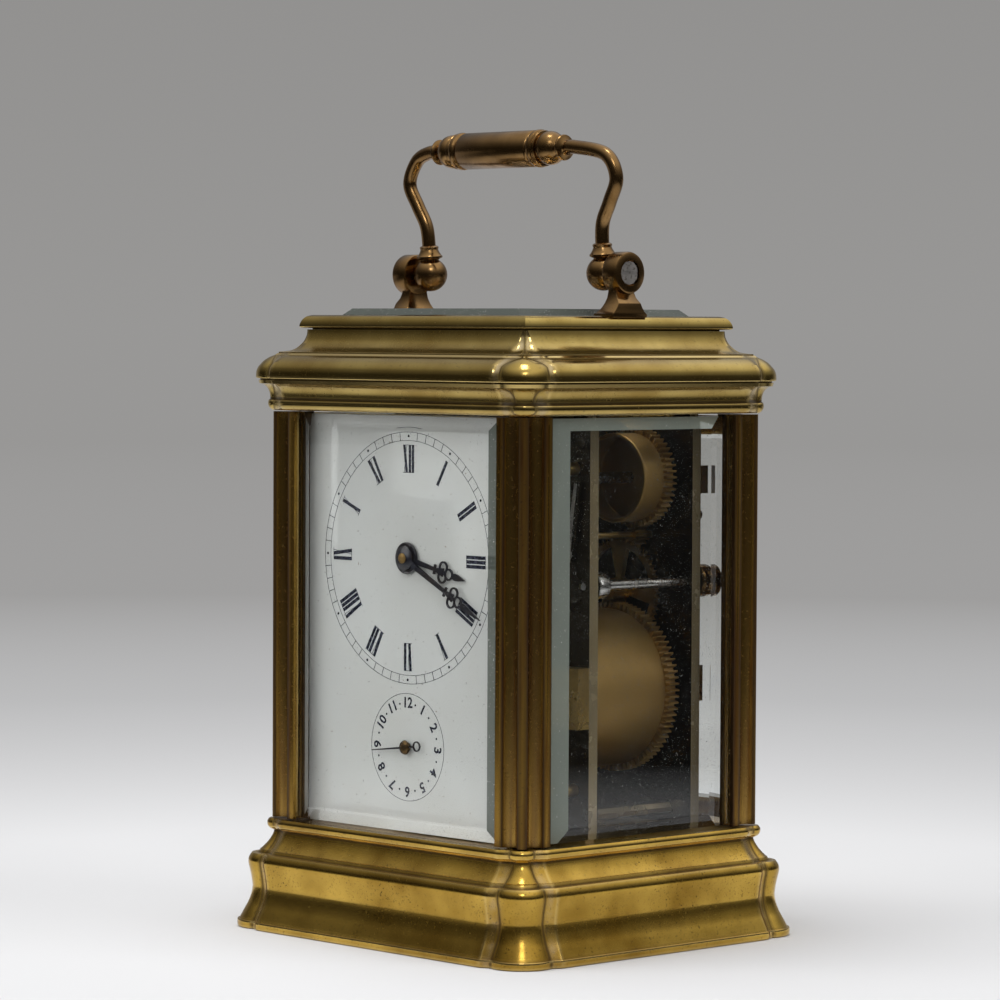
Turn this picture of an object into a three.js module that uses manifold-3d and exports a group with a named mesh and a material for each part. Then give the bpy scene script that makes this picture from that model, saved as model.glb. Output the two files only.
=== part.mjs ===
// A glazed brass travelling clock with an alarm: moulded case, folding handle, bevelled
// glasses, a glazed back door and a timepiece movement with its platform escapement.
// Millimetres, +Z up, the dial looks along -Y, the foot stands on z = 0.
import * as THREE from 'three';
import { mergeVertices } from 'three/addons/utils/BufferGeometryUtils.js';
import Module from 'manifold-3d';

const wasm = await Module();
wasm.setup();
const { Manifold, Mesh: ManifoldMesh } = wasm;

const turn = Math.PI * 2;
const quarter = Math.PI / 2;
const degree = Math.PI / 180;
const roundSteps = 12;
const weld = 1e-4;

// Clearances: between pieces that touch, and past a face that a cutter leaves
const fit = 0.3;
const seatGap = 0.1;
const overrun = 1;
const boreClearance = 0.25;

// Case mouldings
const baseHeight = 24.6;
const baseOverhang = 7.85;
const corniceHeight = 18.2;
const corniceOverhang = 4.55;
const topFrameHeight = 2.95;
const topFrameInset = 4.67;

// Where the flats of a moulding stop before the corner, and the lobe that turns it
const cornerFlatRun = 5.3;
const cornerLobeRun = 1.9;
const cornerCrease = 0.75;
const lobeGrowthShare = 0.8;
const cornerGrowthShare = 0.93;
const lobeSteps = 3;

// Rise and overhang along each moulding, as shares of its height and largest overhang
const baseProfileShares = [
  [0, 0.892], [0.037, 1], [0.081, 0.976], [0.167, 0.818], [0.28, 0.67], [0.382, 0.624],
  [0.545, 0.704], [0.615, 0.727], [0.683, 0.637], [0.717, 0.425],
  [0.8, 0.21], [0.89, 0.07], [0.915, 0.215], [0.958, 0.255], [1, 0.203],
];
const corniceProfileShares = [
  [0, 0.169], [0.045, 0.34], [0.118, 0.398], [0.137, 0.286], [0.21, 0.31],
  [0.29, 0.5], [0.33, 0.85], [0.385, 0.9], [0.4, 1], [0.481, 0.93],
  [0.574, 0.76], [0.64, 0.459], [0.684, 0.081], [0.745, -0.02],
  [0.783, -0.705], [0.849, -1.029], [0.931, -1.196], [1, -1.251],
];
const topFrameShares = [[0, -0.26], [0.09, -0.02], [0.2, 0], [0.5, -0.1], [0.72, -0.22], [1, -0.45]];

// Case interior
const floorThickness = 3;
const basePlateThickness = 1.3;
const corniceWall = 7.4;
const gorgeWall = 3.2;
const hammerSlotWidth = 9;
const hammerSlotDepth = 14;

// Pillars: the outline of one outer face as shares of its run, then the glass rebates
const pillarRun = 8.5;
const pillarBody = 5.4;
const rebateStart = 0.9;
const rebateDepth = 1.3;
const pillarFaceShares = [
  [0.736, 0], [0.7, 0.1], [0.575, 0.2], [0.39, 0.2], [0.26, 0.13], [0.2, 0.03], [0.12, 0.035],
];
const pillarNoseShare = 0.072;

// Glasses
const glassThickness = 2;
const glassBevelWidth = 4.4;
const glassBevelDepth = 1.2;
const topGlassSideInset = 12.6;
const topGlassFrontInset = 10.7;
const topGlassThickness = 2.8;
const topGlassBevel = 1.5;
const topGlassLedge = 1.6;

// Wheels: teeth and module of each meshing pair, and the tooth as shares of its module
// or of the pitch
const barrelTeeth = 84;
const barrelModule = 0.445;
const intermediateLeaves = 12;
const intermediateTeeth = 60;
const intermediateModule = 0.4;
const centreLeaves = 8;
const centreTeeth = 48;
const centreModule = 0.5;
const thirdLeaves = 6;
const thirdTeeth = 45;
const thirdModule = 0.46;
const contrateLeaves = 6;
const contrateTeeth = 30;
const motionModule = 0.75;
const cannonTeeth = 8;
const minuteTeeth = 24;
const minuteLeaves = 6;
const hourTeeth = 24;
const alarmTeeth = 50;
const alarmModule = 0.43;
const alarmLeaves = 10;
const settingTeeth = 12;
const alarmWheelTeeth = 24;
const settingModule = 0.66;
const pinionTooth = { addendumShare: 0.7, dedendumShare: 1.35, rootShare: 0.3, tipShare: 0.24 };
const pointedTooth = { addendumShare: 1, dedendumShare: 1.3, rootShare: 0.62, tipShare: 0 };
const spokeShare = 0.3;
const wheelThickness = 1.2;
const pinionLength = 3.2;

// The case is built round its movement. Its height is that of the train: each arbor stands
// above the one before it, and the plates end above the last and lap behind the cornice.
const barrelRise = 30;
const centreRise = 30.2;
const contrateRise = 19.9;
const plateMargin = 13.9;
const plateLap = 2.2;
const pillarBottom = baseHeight + fit;
const plateBottom = pillarBottom;
const barrelHeight = plateBottom + barrelRise;
const centreHeight = barrelHeight + centreRise;
const contrateHeight = centreHeight + contrateRise;
const plateTop = contrateHeight + plateMargin;
const pillarTop = plateTop - plateLap;
const pillarHeight = pillarTop - pillarBottom;
const corniceBottom = pillarTop + fit;
const corniceTop = corniceBottom + corniceHeight;
const topFrameBottom = corniceTop + fit;
const caseTop = topFrameBottom + topFrameHeight;
const topGlassBottom = caseTop + topGlassBevel - topGlassThickness;
const openHeight = pillarHeight - 2 * fit;
const middleHeight = pillarBottom + pillarHeight / 2;

// Its width is what the plates need beside the alarm drum
const alarmBarrelShift = 17.8;
const alarmBarrelMargin = 13.7;
const plateSideGap = 1.6;
const plateHalfWidth = alarmBarrelShift + alarmBarrelMargin;
const halfWidth = plateHalfWidth + plateSideGap + pillarRun;
const caseWidth = 2 * halfWidth;

// Its depth is that of the front glass, the room for the hands, the motion work behind the
// dial, the plates, the room for knobs and squares behind them, and the door
const handRoom = 2.5;
const motionRoom = 23.1;
const plateThickness = 2.6;
const plateGap = 29.4;
const squareRoom = 7.4;
const doorThickness = 2.6;
const glassDepth = rebateStart + fit + glassThickness;
const caseDepth = glassDepth + handRoom + motionRoom + plateThickness + plateGap + plateThickness
  + squareRoom + doorThickness;
const halfDepth = caseDepth / 2;
const dialFront = glassDepth + handRoom - halfDepth;
const frontPlateFront = dialFront + motionRoom;
const frontPlateBack = frontPlateFront + plateThickness;
const backPlateFront = frontPlateBack + plateGap;
const backPlateBack = backPlateFront + plateThickness;
const doorFront = halfDepth - doorThickness;
const topGlassWidth = caseWidth - 2 * topGlassSideInset;
const topGlassDepth = caseDepth - 2 * topGlassFrontInset;

// Movement plates
const plateCorner = 2;
const arborRadius = 0.8;

// Pillars of the movement, closer to the corner beside the alarm drum
const movementPillarRadius = 2;
const movementPillarInset = 4;
const cornerPillarInset = 3;
const cornerPillarDrop = 3.6;
const movementWaistShare = 0.75;
const movementPillarPlaces = [
  [-plateHalfWidth + movementPillarInset, plateBottom + movementPillarInset],
  [plateHalfWidth - movementPillarInset, plateBottom + movementPillarInset],
  [-plateHalfWidth + movementPillarInset, plateTop - movementPillarInset],
  [plateHalfWidth - cornerPillarInset, plateTop - cornerPillarDrop],
];

// Back door
const doorStile = 4.4;
const doorLip = 1;
const doorClearance = 0.45;
const doorHingeInset = 1.3;
const doorPinRadius = 0.55;
const doorPinReach = 1.6;
const doorKnobRise = 46.6;
const doorKnobLength = 7.5;
const doorKnobRadius = 1.75;
const doorLatchShare = 0.55;
const doorHalfWidth = halfWidth - pillarRun - doorClearance;
const doorBottom = pillarBottom + doorClearance;
const doorTop = pillarTop - doorClearance;
const doorPin = [-doorHalfWidth + doorHingeInset, halfDepth - doorHingeInset + fit];

// The knob: radius, and distance back from its tip, as shares of its radius
const doorKnobShares = [[0.8, 1.7], [1, 1], [0.7, 0.25]];

// Lugs stand beside the top glass and carry the handle
const lugGlassGap = 1.5;
const lugFootWidth = 4.2;
const lugFootDepth = 10.7;
const lugOverhang = 1.8;
const lugThickness = 4.4;
const lugRadius = 4.65;
const pivotRise = 9.4;
const screwHeadRadius = 2.6;
const screwShankRadius = 1.3;
const screwRecess = 0.9;
const lugFootInner = topGlassWidth / 2 + lugGlassGap;
const lugFootOuter = lugFootInner + lugFootWidth;
const lugOuter = lugFootOuter + lugOverhang;
const lugInner = lugOuter - lugThickness;
const lugBottom = caseTop + seatGap;
const pivotHeight = caseTop + pivotRise;

// Width of the neck as a share of the foot, and rise as a share of the way to the pivot
const lugFlareShares = [[1, 0.1], [0.93, 0.16], [0.72, 0.3], [0.58, 0.45], [0.53, 0.62], [0.6, 0.8]];

// Handle: a ball between the lugs, a bow and a turned grip
const handleLean = 4.5 * degree;
const handleBall = 3.5;
const handlePlay = 0.4;
const handleTube = 1.57;
const bowHalfSpan = lugInner - handleBall - handlePlay;
const bowSwell = 5.4;
const gripRise = 27.8;
const gripShift = -2.4;
const gripHalfLength = 19;
const gripRadius = 4.12;
const bowCollarLength = 2.4;

// The bow from the ball to the grip, as shares of its swell and of the grip's rise
const bowShares = [[0.07, 0.38], [0.55, 0.56], [1, 0.75], [0.45, 0.935]];

// Neck above the ball, both ways as shares of the ball
const neckShares = [[0.66, 0.6], [0.6, 0.95], [0.84, 1.1], [0.84, 1.3], [0.62, 1.6], [0.6, 1.75]];

// Collar beside the grip, as shares of the tube and of the collar's length
const bowCollarShares = [[1.1, 0], [1.75, 0.35], [1.75, 0.6], [1, 1]];

// Radius share of the grip against distance share from its middle
const gripProfileShares = [
  [0.97, 0], [1, 0.05], [1, 0.57], [0.93, 0.6], [1, 0.63], [1, 0.67], [0.9, 0.7], [0.96, 0.73],
  [0.92, 0.78], [0.86, 0.86], [0.62, 0.95], [0.45, 1],
];

// Dial and hands
const dialThickness = 1.1;
const dialLap = 0.3;
const dialHalfWidth = halfWidth - pillarRun + dialLap;
const dialFootRadius = 1.5;
const dialFootInset = 6.4;
const dialFootRise = 9.6;
const alarmRise = 18.5;
const alarmHeight = plateBottom + alarmRise;
const handThickness = 0.35;
const handSpacing = 0.35;
const hourHandBack = dialFront - handSpacing;
const hourHandFront = hourHandBack - handThickness;
const minuteHandBack = hourHandFront - handSpacing;
const minuteHandFront = minuteHandBack - handThickness;
const minuteHandLength = 27.5;
const minuteHandBoss = 2.7;
const minuteHandDome = 0.5;
const minuteHandAngle = -27 * degree;
const hourHandLength = 19.5;
const hourHandBoss = 3.5;
const hourHandDome = 0.05;
const hourHandAngle = -12.5 * degree;
const alarmHandLength = 10.8;
const alarmHandBoss = 1.93;
const alarmHandDome = 0.5;
const alarmHandAngle = 187 * degree;
const alarmHandRing = 1.25;
const alarmHandWall = 0.4;
const alarmHandTail = 5.1;
const alarmHandFoot = 0.22;
const alarmHandTip = 0.1;
const dialFootPlaces = [
  [-dialHalfWidth + dialFootInset, plateBottom + dialFootRise],
  [dialHalfWidth - dialFootInset, plateBottom + dialFootRise],
  [-dialHalfWidth + dialFootInset, contrateHeight],
  [dialHalfWidth - dialFootInset, contrateHeight],
];

// Three open rings near the end of a hand, then its blades: distance from the middle of
// the rings and half width, as shares of a ring's radius
const trefoilRing = 1.35;
const trefoilWall = 0.45;
const trefoilPlaceShare = 0.68;
const trefoilLiftShare = 0.75;
const handFoot = 0.75;
const stemEndShares = [-1.93, 0.31];
const crossShares = [[-3.04, 0.815], [-2.59, 0.815]];
const linkShares = [[-2.07, 0.3], [-0.81, 0.67]];
const bladeShares = [[1.33, 0.37], [2.5, 0.556]];
const bossShares = { radiusShare: 0.6, riseShare: 0.8 };

// Going barrel, sized to clear the centre wheel, and its maintaining parts
const barrelShift = 11.2;
const barrelAt = [barrelShift, barrelHeight];
const centreAt = [0, centreHeight];
const contrateAt = [0, contrateHeight];
const drumClearance = 2.01;
const barrelDrumRadius = apart(barrelAt, centreAt) - (centreTeeth / 2 + 1) * centreModule - drumClearance;
const drumFrontGap = 1.4;
const drumBackGap = 2.6;
const greatWheelThickness = 3;
const barrelDrumFront = frontPlateBack + drumFrontGap;
const greatWheelFront = backPlateFront - drumBackGap - greatWheelThickness;
const barrelArborRadius = 2.1;
const squareLength = 4.6;
const squareWidth = 1.9;
const ratchetThickness = 1.6;
const ratchetRadius = 6.4;
const ratchetTeeth = 18;
const ratchetDepth = 1;
const ratchetLeanShare = 0.08;
const ratchetFront = frontPlateFront - fit - ratchetThickness;
const cockThickness = 1.2;
const cockHalfHeight = 6.7;
const clickThickness = 1;
const clickFootWidth = 12;
const clickHeadWidth = 8;
const clickHeight = 8;
const clickDrop = 2.4;

// Where each wheel of the going train lies between the plates
const intermediateGap = 0.5;
const contrateGap = 6.3;
const centreWheelGap = 13.3;
const thirdWheelGap = 19.3;
const intermediateFront = greatWheelFront + greatWheelThickness + intermediateGap;
const centreWheelFront = frontPlateBack + centreWheelGap;
const thirdWheelFront = frontPlateBack + thirdWheelGap;
const contrateFront = frontPlateBack + contrateGap;
const contrateRadius = 8;
const contrateCrown = 1.8;
const contrateWall = 0.9;
const contrateBack = contrateFront + contrateWall + contrateCrown;

// Motion work in front of the front plate
const cannonGap = 4.7;
const hourWheelGap = 7.5;
const alarmWheelGap = 6.1;
const cannonFront = frontPlateFront - cannonGap;
const hourWheelFront = frontPlateFront - hourWheelGap;
const alarmWheelFront = frontPlateFront - alarmWheelGap;
const motionAngle = 150 * degree;
const cannonPipeRadius = arborRadius + 2 * boreClearance + fit;
const hourPipeBore = cannonPipeRadius + fit;
const hourPipeRadius = hourPipeBore + wheelThickness / 2;

// Alarm drum and its train
const alarmBarrelRise = 17.3;
const alarmBarrelAt = [alarmBarrelShift, centreHeight + alarmBarrelRise];
const alarmDrumRadius = 10;
const alarmDrumGap = 2.4;
const alarmDrumLength = 6;
const alarmDrumWall = 0.8;
const alarmWheelThickness = 3;
const alarmDrumFront = backPlateFront - alarmDrumGap - alarmWheelThickness - alarmDrumLength;
const alarmArborRadius = 1.3;
const alarmEscapeGap = 7.3;
const alarmEscapeFront = frontPlateBack + alarmEscapeGap;
const alarmEscapeRadius = 5;
const settingKnobRadius = 2.6;

// Escape teeth: root radius as a share of the tip radius, lean as a share of the pitch
const escapeTeeth = 15;
const escapeRootShare = 0.75;
const escapeLeanShare = 0.24;

// Stop knob on its arbor, with a cup near the front plate
const stopArborInset = 2.3;
const stopArborFall = 5.8;
const stopArborAt = [plateHalfWidth - stopArborInset, centreHeight - stopArborFall];
const stopCupRadius = 2.9;
const stopCupWall = 0.6;
const stopCupDepth = 1.5;
const stopCupLength = 3.3;
const stopCupFront = frontPlateBack + fit + seatGap;
const knobRadius = 3.65;
const knobLength = 4.4;
const stopPinRadius = 0.35;
const stopPinLength = 1.1;
const stopPinShare = 0.4;
const knobShares = [
  [0.863, 0], [1, 0.114], [1, 0.318], [0.863, 0.386], [1, 0.455], [1, 0.795], [0.753, 1],
];

// Alarm release lever in front of the front plate, its outline as shares of its length
const alarmLeverShift = 26.2;
const alarmLeverRise = 1.1;
const alarmLeverLength = 15.8;
const alarmLeverThickness = 0.7;
const alarmLeverGap = 0.9;
const alarmLeverBoss = 1.4;
const alarmLeverAt = [alarmLeverShift, centreHeight + alarmLeverRise];
const alarmLeverShares = [
  [-0.051, -0.101], [0.051, -0.101], [0.089, 0.367], [0.177, 0.987], [0.12, 1], [0.013, 0.392],
];

// Cock and domed screws on the back plate; the dome as shares of its radius and height
const backCockWidth = 9;
const backCockThickness = 2.2;
const backCockBelow = 3.4;
const backCockAbove = 2.8;
const cockScrewRadius = 1.7;
const cockScrewHeight = 1;
const cockScrewInset = 2.2;
const backScrewRadius = 1.25;
const backScrewHeight = 1.7;
const backScrewInset = 1.7;
const backScrewFall = 8.2;
const domeShares = [[1, 0.47], [0.64, 0.88]];

// Hammer, which swings through the floor of the base, and the bell inside the base
const strikeGap = 11.3;
const hammerInset = 11.5;
const hammerAt = [hammerInset - plateHalfWidth, frontPlateBack + strikeGap];
const hammerPivotRise = 21.1;
const hammerReach = 33.5;
const hammerRodWidth = 1.2;
const hammerHeadRadius = 1.6;
const hammerHeadLength = 4.4;
const bellShift = 5.2;
const bellAt = [bellShift, frontPlateBack + strikeGap];
const bellBottom = 7;
const bellHeight = 8;
const bellRadius = 21;
const bellWall = 0.9;
const bellHoleRadius = 2;
const bellShares = [[0.5, 0.075], [0.85, 0.325]];
const bellPostRadius = 2.6;
const bellStemRadius = 1.7;
const bellNutRadius = 3;
const bellNutThickness = 1.4;

// Platform escapement
const platformWidth = 38;
const platformThickness = 1.6;
const platformBottom = plateTop + seatGap;
const platformTop = platformBottom + platformThickness;
const platformMiddle = (frontPlateFront + backPlateBack) / 2;
const escapeHoleRadius = 2;
const escapeGap = 1.5;
const escapeAt = [0, contrateBack + escapeGap];
const escapeRadius = 3.9;
const escapeLift = 1;
const escapeThickness = 0.5;
const escapeArborRadius = 0.4;
const escapeArborRise = 2.2;
const escapePinionPoints = 12;
const escapePinionRootShare = 0.6;
const escapePinionStartShare = 0.55;
const leverGap = 5.4;
const leverAt = [0, escapeAt[1] + leverGap];
const leverLength = 3.4;
const leverLift = 0.9;
const leverThickness = 0.5;
const leverArborRadius = 0.35;
const leverShares = [[0.5, -0.44], [0.56, -0.265], [0.088, 0], [0.147, 1]];
const balanceGap = 7.6;
const balanceAt = [0, leverAt[1] + balanceGap];
const balanceRadius = 7.4;
const balanceRimWidth = 0.9;
const balanceThickness = 0.9;
const balanceLift = 3.4;
const balanceArmWidth = 1.2;
const balanceStaffRadius = 0.5;
const balanceStaffRise = 1.9;
const balanceCockLift = 5.6;
const balanceCockReach = 15;
const balanceCockFoot = 4.5;
const balanceCockThickness = 1.4;
const balanceCockShares = [[-0.133, 0.444], [0.6, 0.667], [1, 1]];
const springDrop = 0.9;
const springStart = 1;
const springSpread = 3.4;
const springTurns = 4;
const springSteps = 28;
const springWall = 0.22;
const springHeight = 0.45;

const gold = 0xa8894a;
const bronze = 0x6e5a34;
const steel = 0xb4b6b8;
const blued = 0x161a2c;
const enamel = 0xd2d4d2;
const pale = 0xc9d3cc;

function apart(first, second) {
  return Math.hypot(second[0] - first[0], second[1] - first[1]);
}

// A manifold from any closed geometry, its faces turned outward
function closed(geometry) {
  const plain = new THREE.BufferGeometry();
  plain.setAttribute('position', geometry.getAttribute('position').clone());
  if (geometry.index) {
    plain.setIndex(geometry.index.clone());
  }
  const merged = mergeVertices(plain, weld);
  const corners = Uint32Array.from(merged.index.array);
  const places = Float32Array.from(merged.getAttribute('position').array);
  const body = new Manifold(new ManifoldMesh({ numProp: 3, vertProperties: places, triVerts: corners }));
  if (body.volume() > 0) {
    return body;
  }
  for (let i = 0; i < corners.length; i += 3) {
    const first = corners[i];
    corners[i] = corners[i + 1];
    corners[i + 1] = first;
  }
  return new Manifold(new ManifoldMesh({ numProp: 3, vertProperties: places, triVerts: corners }));
}

function geometryOf(body) {
  const mesh = body.getMesh();
  const geometry = new THREE.BufferGeometry();
  geometry.setAttribute('position', new THREE.BufferAttribute(Float32Array.from(mesh.vertProperties), 3));
  geometry.setIndex(new THREE.BufferAttribute(Uint32Array.from(mesh.triVerts), 1));
  geometry.computeVertexNormals();
  return geometry;
}

function piece(name, body, color, roughness = 0.35, metalness = 1) {
  const material = new THREE.MeshStandardMaterial({ color, roughness, metalness });
  const mesh = new THREE.Mesh(geometryOf(body), material);
  mesh.name = name;
  return mesh;
}

function glassPiece(name, body) {
  const mesh = piece(name, body, pale, 0.05, 0);
  mesh.material.transparent = true;
  mesh.material.opacity = 0.35;
  return mesh;
}

// Plain building shapes
function box(low, high) {
  const size = high.map((value, i) => value - low[i]);
  const centre = high.map((value, i) => (value + low[i]) / 2);
  const geometry = new THREE.BoxGeometry(...size);
  geometry.translate(...centre);
  return closed(geometry);
}

function flatShape(points, holes = []) {
  const shape = new THREE.Shape(points.map(([x, y]) => new THREE.Vector2(x, y)));
  for (const hole of holes) {
    shape.holes.push(new THREE.Path(hole.map(([x, y]) => new THREE.Vector2(x, y))));
  }
  return shape;
}

function standing(points, low, high, holes = []) {
  const options = { depth: high - low, bevelEnabled: false, steps: 1 };
  const geometry = new THREE.ExtrudeGeometry(flatShape(points, holes), options);
  geometry.translate(0, 0, low);
  return closed(geometry);
}

// Points are x and height; the shape runs from front to back
function facing(points, front, back, holes = []) {
  const options = { depth: back - front, bevelEnabled: false, steps: 1 };
  const geometry = new THREE.ExtrudeGeometry(flatShape(points, holes), options);
  geometry.rotateX(quarter);
  geometry.translate(0, back, 0);
  return closed(geometry);
}

function circle([x, y], radius, steps = roundSteps) {
  return Array.from({ length: steps }, (_, i) => {
    const angle = turn * (i + 0.5) / steps;
    return [x + radius * Math.cos(angle), y + radius * Math.sin(angle)];
  });
}

// A turned shape round the depth axis: points are radius and depth
function turned([x, z], profile, steps = roundSteps) {
  const points = profile.map(([radius, depth]) => new THREE.Vector2(radius, depth));
  const geometry = new THREE.LatheGeometry(points, steps);
  geometry.translate(x, 0, z);
  return closed(geometry);
}

function turnedUp([x, y], profile, steps = roundSteps) {
  const points = profile.map(([radius, height]) => new THREE.Vector2(radius, height));
  const geometry = new THREE.LatheGeometry(points, steps);
  geometry.rotateX(quarter);
  geometry.translate(x, y, 0);
  return closed(geometry);
}

// A turned shape round an axis along +X through the given depth and height
function turnedAcross([y, z], profile, steps = roundSteps) {
  const points = profile.map(([radius, across]) => new THREE.Vector2(radius, across));
  const geometry = new THREE.LatheGeometry(points, steps);
  geometry.rotateZ(-quarter);
  geometry.translate(0, y, z);
  return closed(geometry);
}

function rod([x, z], radius, front, back, steps = roundSteps) {
  return turned([x, z], [[0, front], [radius, front], [radius, back], [0, back]], steps);
}

function post([x, y], radius, low, high, steps = roundSteps) {
  return turnedUp([x, y], [[0, low], [radius, low], [radius, high], [0, high]], steps);
}

// Points are depth and height; the shape runs across from one x to another
function standingAcross(points, left, right) {
  const options = { depth: right - left, bevelEnabled: false, steps: 1 };
  const geometry = new THREE.ExtrudeGeometry(flatShape(points), options);
  geometry.rotateX(quarter);
  geometry.rotateZ(quarter);
  geometry.translate(left, 0, 0);
  return closed(geometry);
}

function upright(halfX, low, high) {
  return [[-halfX, low], [halfX, low], [halfX, high], [-halfX, high]];
}

function mirroredLeft(body, side) {
  return side > 0 ? body : body.mirror([1, 0, 0]);
}

function joined(bodies) {
  return bodies.reduce((whole, next) => whole.add(next));
}

function rectangle(halfX, halfY) {
  return [[-halfX, -halfY], [halfX, -halfY], [halfX, halfY], [-halfX, halfY]];
}

// A body through a stack of like rings, each a list of x, y, z
function loft(rings) {
  const count = rings[0].length;
  const places = rings.flat(2);
  const corners = [];
  for (let level = 0; level + 1 < rings.length; level += 1) {
    for (let i = 0; i < count; i += 1) {
      const next = (i + 1) % count;
      const low = level * count;
      const high = low + count;
      corners.push(low + i, low + next, high + next, low + i, high + next, high + i);
    }
  }
  const last = rings.length - 1;
  for (const [ring, start] of [[rings[0], 0], [rings[last], last * count]]) {
    const outline = ring.map(([x, y]) => new THREE.Vector2(x, y));
    for (const [a, b, c] of THREE.ShapeUtils.triangulateShape(outline, [])) {
      const [second, third] = start === 0 ? [c, b] : [b, c];
      corners.push(start + a, start + second, start + third);
    }
  }
  const geometry = new THREE.BufferGeometry();
  geometry.setAttribute('position', new THREE.Float32BufferAttribute(places, 3));
  geometry.setIndex(corners);
  return closed(geometry);
}

// Case mouldings. A ring stands out from the pillar faces by its overhang; at each corner
// its flat stops, a shallow flute runs in to a crease and a lobe turns the corner.
function cornerPoints(overhang) {
  const run = Math.max(cornerFlatRun + cornerGrowthShare * overhang, fit);
  const inward = cornerLobeRun * run / cornerFlatRun;
  const crease = overhang > 0 ? cornerLobeRun + lobeGrowthShare * overhang : inward;
  const dip = cornerCrease * Math.min(1, run / (cornerFlatRun + cornerLobeRun));
  const lobe = crease - dip;
  const points = [[run, 0], [(run + crease) / 2, dip]];
  for (let i = 0; i <= lobeSteps; i += 1) {
    const angle = quarter * i / lobeSteps;
    points.push([dip + lobe * (1 - Math.sin(angle)), dip + lobe * (1 - Math.cos(angle))]);
  }
  points.push([dip, (run + crease) / 2], [0, run]);
  return points;
}

function mouldingRing(overhang, height) {
  const ring = [];
  const corners = [[1, 1, true], [-1, 1, false], [-1, -1, true], [1, -1, false]];
  for (const [sideX, sideY, reversed] of corners) {
    const points = cornerPoints(overhang);
    if (reversed) {
      points.reverse();
    }
    for (const [u, v] of points) {
      ring.push([sideX * (halfWidth + overhang - u), sideY * (halfDepth + overhang - v), height]);
    }
  }
  return ring;
}

function moulding(shares, bottom, height, reach) {
  return loft(shares.map(([rise, out]) => mouldingRing(out * reach, bottom + rise * height)));
}

function baseMoulding() {
  const solid = moulding(baseProfileShares, 0, baseHeight, baseOverhang);
  const innerX = halfWidth - pillarBody;
  const innerY = halfDepth - pillarBody;
  const hollow = box([-innerX, -innerY, -overrun], [innerX, innerY, baseHeight - floorThickness]);
  const slot = box(
    [hammerAt[0] - hammerSlotWidth / 2, hammerAt[1] - hammerSlotDepth / 2, 0],
    [hammerAt[0] + hammerSlotWidth / 2, hammerAt[1] + hammerSlotDepth / 2, baseHeight + overrun],
  );
  const pinHole = doorPinHole(baseHeight - doorPinReach - fit, baseHeight + overrun);
  return solid.subtract(hollow).subtract(slot).subtract(pinHole);
}

function basePlate() {
  const innerX = halfWidth - pillarBody - fit;
  const innerY = halfDepth - pillarBody - fit;
  return box([-innerX, -innerY, fit], [innerX, innerY, fit + basePlateThickness]);
}

function corniceMoulding() {
  const solid = moulding(corniceProfileShares, corniceBottom, corniceHeight, corniceOverhang);
  const gorgeInset = Math.abs(corniceProfileShares.at(-1)[1]) * corniceOverhang + gorgeWall;
  const lowX = halfWidth - corniceWall;
  const lowY = halfDepth - pillarBody;
  const highX = halfWidth - gorgeInset;
  const highY = halfDepth - gorgeInset;
  const lowTop = plateTop + fit + overrun;
  const low = box([-lowX, -lowY, corniceBottom - overrun], [lowX, lowY, lowTop]);
  const high = box([-highX, -highY, lowTop - fit], [highX, highY, corniceTop + overrun]);
  const pinHole = doorPinHole(corniceBottom - overrun, corniceBottom + doorPinReach + fit);
  return solid.subtract(low).subtract(high).subtract(pinHole);
}

function topFrame() {
  const rings = topFrameShares.map(([rise, out]) => {
    const inset = topFrameInset - out * topFrameInset;
    return rectangle(halfWidth - inset, halfDepth - inset)
      .map(([x, y]) => [x, y, topFrameBottom + rise * topFrameHeight]);
  });
  const recessX = topGlassWidth / 2 + fit;
  const recessY = topGlassDepth / 2 + fit;
  const recess = box([-recessX, -recessY, topGlassBottom - fit], [recessX, recessY, caseTop + overrun]);
  const openX = topGlassWidth / 2 - topGlassLedge;
  const openY = topGlassDepth / 2 - topGlassLedge;
  const open = box([-openX, -openY, topFrameBottom - overrun], [openX, openY, caseTop + overrun]);
  return loft(rings).subtract(recess).subtract(open);
}

function topGlass() {
  return pane(topGlassWidth, topGlassDepth, topGlassThickness, topGlassBevel, topGlassBevel)
    .translate([0, 0, topGlassBottom]);
}

// Pillars
function pillarOutline(grooves) {
  const front = pillarFaceShares.map(([u, v]) => [u * pillarRun, v * pillarRun]);
  const nose = pillarNoseShare * pillarRun;
  const side = front.map(([u, v]) => [v, u]).reverse();
  const rebate = (groove) => groove ? [
    [pillarRun, rebateStart],
    [pillarRun - rebateDepth, rebateStart],
    [pillarRun - rebateDepth, rebateStart + glassThickness + 2 * fit],
    [pillarRun, rebateStart + glassThickness + 2 * fit],
  ] : [];
  const across = rebate(grooves.x);
  const along = rebate(grooves.y).map(([u, v]) => [v, u]);
  return [
    [pillarRun, 0], ...front, [nose, nose], ...side, [0, pillarRun],
    ...along, [pillarBody, pillarRun], [pillarBody, pillarBody], [pillarRun, pillarBody],
    ...across.reverse(),
  ];
}

function pillar(sideX, sideY) {
  const outline = pillarOutline({ x: sideY < 0, y: true });
  const points = outline.map(([u, v]) => [sideX * (halfWidth - u), sideY * (halfDepth - v)]);
  return standing(points, pillarBottom, pillarTop);
}

// A bevelled pane: its outer face looks along +Z here, and the caller turns it
function pane(width, height, thickness, bevelWidth, bevelDepth) {
  const halfX = width / 2;
  const halfY = height / 2;
  const levels = [[0, 0], [0, thickness - bevelDepth], [bevelWidth, thickness]];
  return loft(levels.map(([inset, z]) => {
    return rectangle(halfX - inset, halfY - inset).map(([x, y]) => [x, y, z]);
  }));
}

function sidePane(span) {
  const width = span - 2 * (pillarRun - rebateDepth + fit);
  return pane(width, openHeight, glassThickness, glassBevelWidth, glassBevelDepth).rotate([90, 0, 0]);
}

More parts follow.
